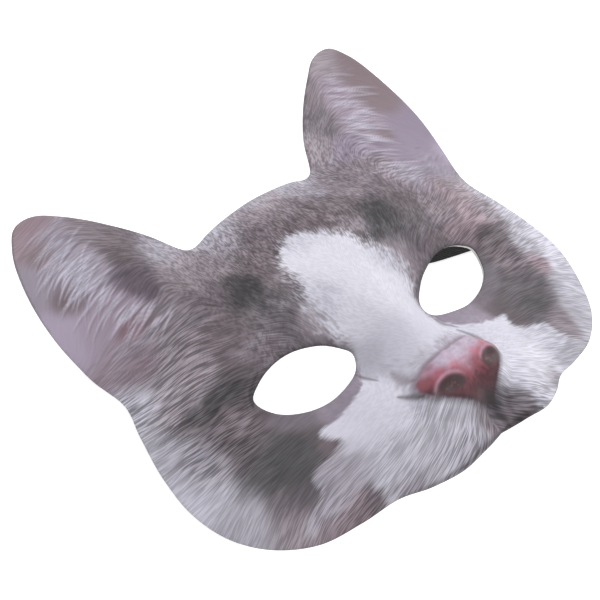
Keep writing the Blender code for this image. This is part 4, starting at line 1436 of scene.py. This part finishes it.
def paint_leather_hairs(canvas, color, inside, count=150):
    """Short dark hairs low on the leather, thickest at its point."""
    starts = canvas.random.normal(size=(count, 2)) * (4.5, 3.4) + (1.0, -79.5)
    heading = -90 + starts[:, 0] * 3 + canvas.random.normal(size=count) * 14
    cover = canvas.hairs(starts, heading, canvas.random.uniform(1.2, 3.0, count), 0.42)
    return canvas.lay_over(color, "leather_dark", cover * inside * 0.52)


def paint_nostril(canvas, color, side):
    """A dark opening with a painted highlight on its upper rim and a few rusty specks low in it."""
    edge = np.array(NOSTRIL_EDGE) * (side, 1)
    signed, _ = canvas.signed_distance(closed_curve(edge, NOSE_EDGE_FINENESS))
    above = smooth_step(-73.5, -70, canvas.Y)
    # Painted highlight along the upper rim
    color = canvas.lay_over(color, "leather_sheen", bell(signed + 1.0, 0.7) * above * 0.50)
    dark = smooth_step(-0.7 - 0.7 * (1 - above), 0.8, signed)
    color = canvas.lay_over(color, "nostril_dark", dark * 0.95)
    speck = smooth_step(0.50, 0.85, canvas.noise(SPECK_TABLE, canvas.X, canvas.Y, 0.8))
    inner = smooth_step(0.3, 1.4, signed) * speck * smooth_step(-70.5, -73.5, canvas.Y)
    return canvas.lay_over(color, "nostril_rust", inner * 0.8)


def paint_print(axis_x, axis_y):
    canvas = Canvas(axis_x, axis_y)
    color = paint_coat(canvas)
    for paint in (paint_tufts, paint_locks, paint_eyes, paint_lines, paint_nose):
        color = paint(canvas, color)
    canvas.color = np.clip(color, 0.02, 0.98)
    return canvas


# Pieces


def printed_front():
    """The print's surface: a fine sheet, drawn over the outer edge and cut at the eyes."""
    axis_x, axis_y = sheet_axes(PRINT_MARGIN, FINE_STEP, COARSE_STEP)
    canvas = paint_print(axis_x, axis_y)
    bm = outline_sheet(axis_x, axis_y, 0.0)
    turn_edge(bm)
    mesh_data = mesh_from("printed_front", bm)
    raise_print(mesh_data)
    ink_print(mesh_data, canvas)
    front = add_piece("printed_front", mesh_data, printed_jersey())
    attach(front, "root")
    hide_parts("face_shell")


def turn_edge(bm):
    """Two short bands round every edge: the fold, and the part over the wall or the cut."""
    rim = bm.verts.layers.int.new("rim")
    border = [e for e in bm.edges if e.is_boundary]
    for level in (1, 2):
        made = bmesh.ops.extrude_edge_only(bm, edges=border)["geom"]
        for vert in new_verts(made):
            vert[rim] = level
        border = [e for e in made if isinstance(e, bmesh.types.BMEdge) and e.is_boundary]


def attribute_values(mesh_data, name):
    values = np.empty(len(mesh_data.vertices), np.int32)
    mesh_data.attributes[name].data.foreach_get("value", values)
    return values


def raise_print(mesh_data):
    """Lifts the flat sheet onto the face and lowers the turned edge."""
    flat = np.empty(len(mesh_data.vertices) * 3)
    mesh_data.vertices.foreach_get("co", flat)
    x, y, _ = flat.reshape(-1, 3).T
    rim = attribute_values(mesh_data, "rim")
    at_eye = np.hypot((np.abs(x) - EYE_OUT) / EYE_WIDTH, (y - EYE_UP) / EYE_HEIGHT) < 0.75
    deep = np.where(at_eye, JERSEY, OUTER_WRAP)
    depth = np.where(rim == 2, deep, np.where(rim == 1, FOLD_DEPTH, 0.0))
    placed = SURFACE.front(x, y)
    turned = rim > 0
    placed[turned] = SURFACE.behind(x[turned], y[turned], depth[turned])
    placed[:, 2] = np.maximum(placed[:, 2], FLOOR_CLEARANCE)
    mesh_data.vertices.foreach_set("co", placed.ravel())
    mesh_data.update()


def ink_print(mesh_data, canvas):
    """Stores the print's colours, strands and leather on the vertices."""
    cell = attribute_values(mesh_data, "cell")
    rim = attribute_values(mesh_data, "rim")
    for layer, name in enumerate(("coat", "white")):
        color = canvas.color[:, :, layer].reshape(-1, 3)[cell]
        # Painted shade where the print turns over an edge
        color = color * np.where(rim > 0, TURNED_EDGE_PAINTED_SHADE, 1.0)[:, None]
        rgba = np.ones((len(cell), 4))
        rgba[:, :3] = srgb_to_linear(color)
        store = mesh_data.attributes.new(name, "FLOAT_COLOR", "POINT")
        store.data.foreach_set("color", rgba.ravel())
    fields = {
        "across_short": canvas.across_hairs(lambda X, Y: 1 - hair_length(X, Y)),
        "across_long": canvas.across_hairs(hair_length),
        "long": hair_length(canvas.X, canvas.Y),
        "edge": canvas.edge,
        "grain": canvas.grain * (1 - 0.8 * canvas.leather),
        "leather": canvas.leather,
    }
    for name, field in fields.items():
        store = mesh_data.attributes.new(name, "FLOAT", "POINT")
        store.data.foreach_set("value", field.ravel()[cell])
    for name in ("cell", "rim"):
        mesh_data.attributes.remove(mesh_data.attributes[name])


def foam_wall():
    """The foam behind the print: bare at the back and at the cut edges of the eyes."""
    bm = outline_sheet(*sheet_axes(FOAM_MARGIN, FOAM_STEP, FOAM_STEP), FOAM_INSET)
    bm.verts.layers.int.remove(bm.verts.layers.int["cell"])
    back = list(bm.verts)
    flat_back = flat_points(back)
    made = bmesh.ops.extrude_face_region(bm, geom=bm.faces[:], use_keep_orig=True)["geom"]
    front = new_verts(made)
    flat_front = flat_points(front)
    _, far, _ = nearest_on_loops(flat_front, LOOPS)
    sunk = FOAM_SEAT + FOAM_SINK * smooth_step(*FOAM_SINK_OVER, far)
    set_places(front, SURFACE.behind(flat_front[:, 0], flat_front[:, 1], sunk))
    set_places(back, SURFACE.behind(flat_back[:, 0], flat_back[:, 1], WALL))
    bmesh.ops.recalc_face_normals(bm, faces=bm.faces)
    wall = add_piece("foam_wall", mesh_from("foam_wall", bm), moulded_foam())
    wall.data.set_sharp_from_angle(angle=math.radians(FOAM_SHARP_ANGLE))
    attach(wall, "root")
    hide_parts("face_shell")


def unit(vectors):
    return vectors / np.linalg.norm(vectors, axis=1, keepdims=True)


def band_line():
    """The band's centre line, left end to right end, and the direction across it."""
    half = np.array(BAND_ROUTE) * (MASK_WIDTH / 2, MASK_HEIGHT, MASK_DEPTH, 1)
    route = np.vstack([half[:0:-1] * (-1, 1, 1, 1), half])
    fine = curve_through(route, [BAND_FINENESS] * (len(route) - 1))
    centre, grip = fine[:, :3], np.clip(fine[:, 3], 0, 1)
    level = unit(np.cross((0, 0, 1), np.gradient(centre, axis=0)))
    wall_up = SURFACE.normal(centre[:, 0], centre[:, 1])
    on_wall = level - wall_up * np.sum(level * wall_up, axis=1, keepdims=True)
    return centre, unit(level + (on_wall - level) * grip[:, None])


def elastic_strap():
    """Knitted elastic: lengthwise ribs with rounded edges, swept along the route."""
    centre, across = band_line()
    up = np.cross(unit(np.gradient(centre, axis=0)), across)
    profile = rib_profile()
    bm = bmesh.new()
    bmesh.ops.create_grid(bm, x_segments=len(centre) - 1, y_segments=len(profile), size=1)
    travel = bm.verts.layers.float.new("travel")
    wide = bm.verts.layers.float.new("wide")
    run = np.concatenate([[0], np.cumsum(np.linalg.norm(np.diff(centre, axis=0), axis=1))])
    for vert in bm.verts:
        i = round((vert.co.x + 1) / 2 * (len(centre) - 1))
        k = round((vert.co.y + 1) / 2 * len(profile)) % len(profile)
        side, rise = profile[k]
        vert[travel] = run[i]
        vert[wide] = side
        vert.co = centre[i] + across[i] * side + up[i] * rise
    bmesh.ops.remove_doubles(bm, verts=bm.verts, dist=1e-7)
    bmesh.ops.holes_fill(bm, edges=[e for e in bm.edges if e.is_boundary], sides=0)
    bmesh.ops.recalc_face_normals(bm, faces=bm.faces)
    mesh_data = mesh_from("elastic_strap_woven", bm)
    band = add_piece("elastic_strap_woven", mesh_data, knitted_elastic())
    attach(band, "root")
    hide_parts("elastic_strap")


def rib_profile():
    """The band's cross-section, once round: (across, up) of the ribs on each face."""
    points = []
    half = BAND_WIDTH / 2
    count = RIBS * RIB_READINGS
    for face in (1, -1):
        for share in (k / count for k in range(count + 1)):
            side = face * half * (2 * share - 1) * BAND_FILL
            edge = math.sqrt(max(0.0, 1 - abs(2 * share - 1) ** BAND_EDGE_POWER))
            swell = abs(math.sin(math.pi * share * RIBS)) ** 0.6
            rise = BAND_THICKNESS / 2 * edge * (RIB_LOW + RIB_SWELL * swell)
            points.append((side, face * max(rise, BAND_EDGE_LEAST)))
    return points


def strap_patch(side, name, replaced):
    """A thin patch with rounded corners under the band's end, its rim against the inside of the wall."""
    centre = np.array(PATCH_CENTRE) * (MASK_WIDTH / 2, MASK_HEIGHT)
    route = np.array(BAND_ROUTE)[:, :2] * (MASK_WIDTH / 2, MASK_HEIGHT)
    along = route[-1] - route[-3]
    along /= np.linalg.norm(along)
    across = np.array([-along[1], along[0]])
    bm = bmesh.new()
    bmesh.ops.create_grid(bm, x_segments=PATCH_CELLS[0], y_segments=PATCH_CELLS[1], size=0.5)
    u, v = flat_points(bm.verts).T
    power = PATCH_CORNER_POWER
    corner = np.clip((np.abs(u * 2) ** power + np.abs(v * 2) ** power) ** (1 / power), 1, None)
    u, v = u / corner, v / corner
    flat = centre + np.outer(u * PATCH_LENGTH, along) + np.outer(v * PATCH_WIDTH, across)
    tent = smooth_step(*PATCH_TENT_ALONG, u) * smooth_step(*PATCH_TENT_ACROSS, np.abs(v))
    depth = WALL + TOUCH_GAP + PATCH_THICKNESS / 2 + tent * (BAND_THICKNESS + TOUCH_GAP)
    set_places(bm.verts, SURFACE.behind(flat[:, 0], flat[:, 1], depth) * (side, 1, 1))
    bmesh.ops.recalc_face_normals(bm, faces=bm.faces)
    patch = add_piece(name, mesh_from(name, bm), patch_cloth())
    wall = patch.modifiers.new("Thickness", "SOLIDIFY")
    wall.thickness = PATCH_THICKNESS
    wall.offset = 0.0
    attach(patch, "root")
    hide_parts(replaced)


# Materials


def add_node(tree, kind, settings=(), inputs=(), links=()):
    """A node with its settings, socket values and links from (input, node, output)."""
    node = tree.nodes.new(kind)
    for key, value in dict(settings).items():
        setattr(node, key, value)
    for key, value in dict(inputs).items():
        node.inputs[key].default_value = value
    for key, source, output in links:
        tree.links.new(source.outputs[output], node.inputs[key])
    return node


def new_material(name, roughness, **sockets):
    made = bpy.data.materials.new(name)
    made.use_nodes = True
    shader = made.node_tree.nodes["Principled BSDF"]
    shader.inputs["Roughness"].default_value = roughness
    for key, value in sockets.items():
        shader.inputs[key.replace("_", " ")].default_value = value
    return made, made.node_tree, shader


def printed_strands(tree, spot):
    """Fine hairs of the print, from -1 to 1: noise that changes fast across the lay, slowly along it."""
    long = add_node(tree, "ShaderNodeAttribute", {"attribute_name": "long"})
    place_at = add_node(tree, "ShaderNodeSeparateXYZ", (), (), [(0, spot, "Object")])
    sums = [strand_layers(tree, length, place_at) for length in ("short", "long")]
    links = [(0, long, "Fac"), (2, sums[0], 0), (3, sums[1], 0)]
    mixed = add_node(tree, "ShaderNodeMix", {"data_type": "FLOAT"}, (), links)
    return add_node(
        tree,
        "ShaderNodeMapRange",
        {"interpolation_type": "SMOOTHSTEP"},
        {"From Min": -STRAND_LIMIT, "From Max": STRAND_LIMIT, "To Min": -1.0, "To Max": 1.0},
        [("Value", mixed, 0)],
    )


def strand_layers(tree, length, place_at):
    """The layers of the hairs of one length: noise drawn out along the lay, summed about 0."""
    rows = STRANDS[length]
    across = add_node(tree, "ShaderNodeAttribute", {"attribute_name": "across_" + length})
    links = [(0, across, "Fac"), (1, place_at, 0), (2, place_at, 1)]
    at = add_node(tree, "ShaderNodeCombineXYZ", (), (), links)
    total = None
    for wide, run, gain in rows:
        scaled = add_node(
            tree,
            "ShaderNodeVectorMath",
            {"operation": "MULTIPLY"},
            {1: (1 / wide, 1000 / run, 1000 / run)},
            [(0, at, 0)],
        )
        values = {"Scale": 1.0, "Detail": 0.0}
        noise = add_node(tree, "ShaderNodeTexNoise", (), values, [("Vector", scaled, 0)])
        links = [(0, noise, 0)] if total is None else [(0, noise, 0), (2, total, 0)]
        inputs = {1: gain, 2: -0.5 * sum(row[2] for row in rows)}
        total = add_node(tree, "ShaderNodeMath", {"operation": "MULTIPLY_ADD"}, inputs, links)
    return total


def printed_color(tree, hair):
    """The white over the grey with hairs across its edge, and lighter and darker strands in both."""
    coat, white, edge, grain = (
        add_node(tree, "ShaderNodeAttribute", {"attribute_name": name})
        for name in ("coat", "white", "edge", "grain")
    )
    links = [(0, hair, 0), (2, edge, "Fac")]
    crossed = add_node(tree, "ShaderNodeMath", {"operation": "MULTIPLY_ADD"}, {1: EDGE_STRANDS}, links)
    cover = add_node(
        tree,
        "ShaderNodeMapRange",
        {"interpolation_type": "SMOOTHSTEP"},
        {"From Min": -1.0, "From Max": 1.0},
        [("Value", crossed, 0)],
    )
    links = [(0, cover, 0), (6, coat, "Color"), (7, white, "Color")]
    mixed = add_node(tree, "ShaderNodeMix", {"data_type": "RGBA"}, (), links)
    links = [(0, grain, "Fac")]
    amount = add_node(tree, "ShaderNodeMath", {"operation": "MULTIPLY"}, {1: STRAND_CONTRAST}, links)
    links = [(0, hair, 0), (1, amount, 0)]
    factor = add_node(tree, "ShaderNodeMath", {"operation": "MULTIPLY_ADD"}, {2: 1.0}, links)
    links = [(0, mixed, 2), ("Scale", factor, 0)]
    return add_node(tree, "ShaderNodeVectorMath", {"operation": "SCALE"}, (), links)


def printed_jersey():
    """Polyester jersey, dye printed and pressed onto foam: matt, faintly napped, hairs printed on."""
    nap = {"Sheen_Weight": 0.12, "Sheen_Roughness": 0.5}
    made, tree, shader = new_material("printed_jersey", 0.62, IOR=1.45, **nap)
    spot = add_node(tree, "ShaderNodeTexCoord")
    color = printed_color(tree, printed_strands(tree, spot))
    tree.links.new(color.outputs[0], shader.inputs["Base Color"])
    leather = add_node(tree, "ShaderNodeAttribute", {"attribute_name": "leather"})
    # Knit loops, drawn at 0.8 mm where real ones are 0.4 mm, so that they show
    knit = add_node(
        tree,
        "ShaderNodeTexNoise",
        (),
        {"Scale": KNIT_LOOPS, "Detail": 2.0, "Roughness": 0.6},
        [("Vector", spot, "Object")],
    )
    pores = add_node(
        tree, "ShaderNodeTexVoronoi", (), {"Scale": LEATHER_PORES}, [("Vector", spot, "Object")]
    )
    relief = add_node(
        tree,
        "ShaderNodeMix",
        {"data_type": "FLOAT"},
        (),
        [(0, leather, "Fac"), (2, knit, "Fac"), (3, pores, "Distance")],
    )
    bump = add_node(
        tree, "ShaderNodeBump", (), {"Strength": 0.35, "Distance": 0.00012}, [("Height", relief, 0)]
    )
    tree.links.new(bump.outputs[0], shader.inputs["Normal"])
    # The nose's ink has a tighter, slightly glossier film
    gloss = add_node(
        tree,
        "ShaderNodeMapRange",
        (),
        {"From Min": 0.0, "From Max": 1.0, "To Min": 0.66, "To Max": 0.46},
        [("Value", leather, "Fac")],
    )
    tree.links.new(gloss.outputs[0], shader.inputs["Roughness"])
    return made


def moulded_foam():
    """Closed-cell foam, heat moulded: pale grey, matt, with fine cells that show as pits."""
    made, tree, shader = new_material("moulded_foam", 0.85, IOR=1.45)
    spot = add_node(tree, "ShaderNodeTexCoord")
    links = [("Vector", spot, "Object")]
    cells = add_node(tree, "ShaderNodeTexVoronoi", (), {"Scale": FOAM_CELLS}, links)
    cloud = add_node(tree, "ShaderNodeTexNoise", (), {"Scale": FOAM_CLOUDS, "Detail": 3.0}, links)
    ramp = add_node(tree, "ShaderNodeValToRGB", (), (), [("Fac", cloud, "Fac")])
    ramp.color_ramp.elements[0].position = 0.3
    ramp.color_ramp.elements[0].color = linear_ink("foam_light")
    ramp.color_ramp.elements[1].position = 0.75
    ramp.color_ramp.elements[1].color = (*srgb_to_linear(ink("foam_light") * 0.93), 1.0)
    tree.links.new(ramp.outputs[0], shader.inputs["Base Color"])
    links = [("Height", cells, "Distance")]
    bump = add_node(tree, "ShaderNodeBump", (), {"Strength": 0.5, "Distance": 0.0001}, links)
    tree.links.new(bump.outputs[0], shader.inputs["Normal"])
    return made


def knitted_elastic():
    """Black braided elastic, polyester over rubber: matt, slanting picks 1.1 mm apart over its ribs."""
    made, tree, shader = new_material("braided_elastic", 0.78, IOR=1.5, Sheen_Weight=0.25)
    travel = add_node(tree, "ShaderNodeAttribute", {"attribute_name": "travel"})
    wide = add_node(tree, "ShaderNodeAttribute", {"attribute_name": "wide"})
    lift = add_node(tree, "ShaderNodeCombineXYZ", (), (), [(0, travel, "Fac"), (1, wide, "Fac")])
    picks = add_node(
        tree,
        "ShaderNodeTexWave",
        {"wave_type": "BANDS", "bands_direction": "DIAGONAL"},
        {"Scale": BAND_PICKS, "Distortion": 1.2, "Detail": 1.0},
        [("Vector", lift, 0)],
    )
    ramp = add_node(tree, "ShaderNodeValToRGB", (), (), [("Fac", picks, "Fac")])
    ramp.color_ramp.elements[0].color = linear_ink("band_deep")
    ramp.color_ramp.elements[1].color = linear_ink("band_light")
    tree.links.new(ramp.outputs[0], shader.inputs["Base Color"])
    bump = add_node(
        tree, "ShaderNodeBump", (), {"Strength": 0.6, "Distance": 0.00015}, [("Height", picks, "Fac")]
    )
    tree.links.new(bump.outputs[0], shader.inputs["Normal"])
    return made


def patch_cloth():
    """Black needle felt, die cut and glued: matt, with short crossed fibres."""
    made, tree, shader = new_material("needle_felt", 0.9, IOR=1.5)
    spot = add_node(tree, "ShaderNodeTexCoord")
    fibres = add_node(
        tree,
        "ShaderNodeTexNoise",
        (),
        {"Scale": FELT_FIBRES, "Detail": 4.0, "Roughness": 0.7, "Distortion": 1.5},
        [("Vector", spot, "Object")],
    )
    ramp = add_node(tree, "ShaderNodeValToRGB", (), (), [("Fac", fibres, "Fac")])
    ramp.color_ramp.elements[0].color = linear_ink("felt_deep")
    ramp.color_ramp.elements[1].color = linear_ink("felt_light")
    tree.links.new(ramp.outputs[0], shader.inputs["Base Color"])
    bump = add_node(
        tree, "ShaderNodeBump", (), {"Strength": 0.7, "Distance": 0.0001}, [("Height", fibres, "Fac")]
    )
    tree.links.new(bump.outputs[0], shader.inputs["Normal"])
    return made


# Stage


def floor():
    bm = bmesh.new()
    bmesh.ops.create_grid(bm, x_segments=1, y_segments=1, size=FLOOR_SIZE)
    made, _, shader = new_material("pale_floor", 0.9)
    shader.inputs["Base Color"].default_value = FLOOR_COLOR
    shader.inputs["Emission Color"].default_value = (1, 1, 1, 1)
    shader.inputs["Emission Strength"].default_value = FLOOR_GLOW
    ground = add_piece("floor", mesh_from("floor", bm), made)


def placed_matrix(place, right, up, back):
    rotation = Matrix(np.stack([right, up, back], axis=1).tolist())
    return Matrix.Translation(place) @ rotation.to_4x4()


def area_light(name, place, size, power):
    data = bpy.data.lights.new(name, "AREA")
    data.size = size
    data.energy = power
    light = bpy.data.objects.new(name, data)
    toward = np.array(LIGHTS_LOOK_AT, float) - place
    back = -toward / np.linalg.norm(toward)
    right = np.cross((0, 0, 1), back)
    right /= np.linalg.norm(right)
    light.matrix_world = placed_matrix(place, right, np.cross(back, right), back)
    bpy.context.scene.collection.objects.link(light)


def room_light():
    world = bpy.data.worlds.new("studio")
    world.use_nodes = True
    background = world.node_tree.nodes["Background"]
    background.inputs["Color"].default_value = ROOM_COLOR
    background.inputs["Strength"].default_value = ROOM_STRENGTH
    bpy.context.scene.world = world


def camera():
    data = bpy.data.cameras.new("camera")
    data.lens = CAMERA_LENS
    data.sensor_width = SENSOR_WIDTH
    data.sensor_fit = "HORIZONTAL"
    made = bpy.data.objects.new("camera", data)
    made.matrix_world = placed_matrix(CAMERA_PLACE, CAMERA_RIGHT, CAMERA_UP, CAMERA_BACK)
    bpy.context.scene.collection.objects.link(made)
    bpy.context.scene.camera = made


def main():
    camera()
    for light in LIGHTS:
        area_light(*light)
    room_light()
    floor()
    elastic_strap()
    printed_front()
    foam_wall()
    strap_patch(1, "strap_patch_felt_right", "strap_patch_right")
    strap_patch(-1, "strap_patch_felt_left", "strap_patch_left")
    bpy.context.scene.view_settings.view_transform = "Standard"


main()
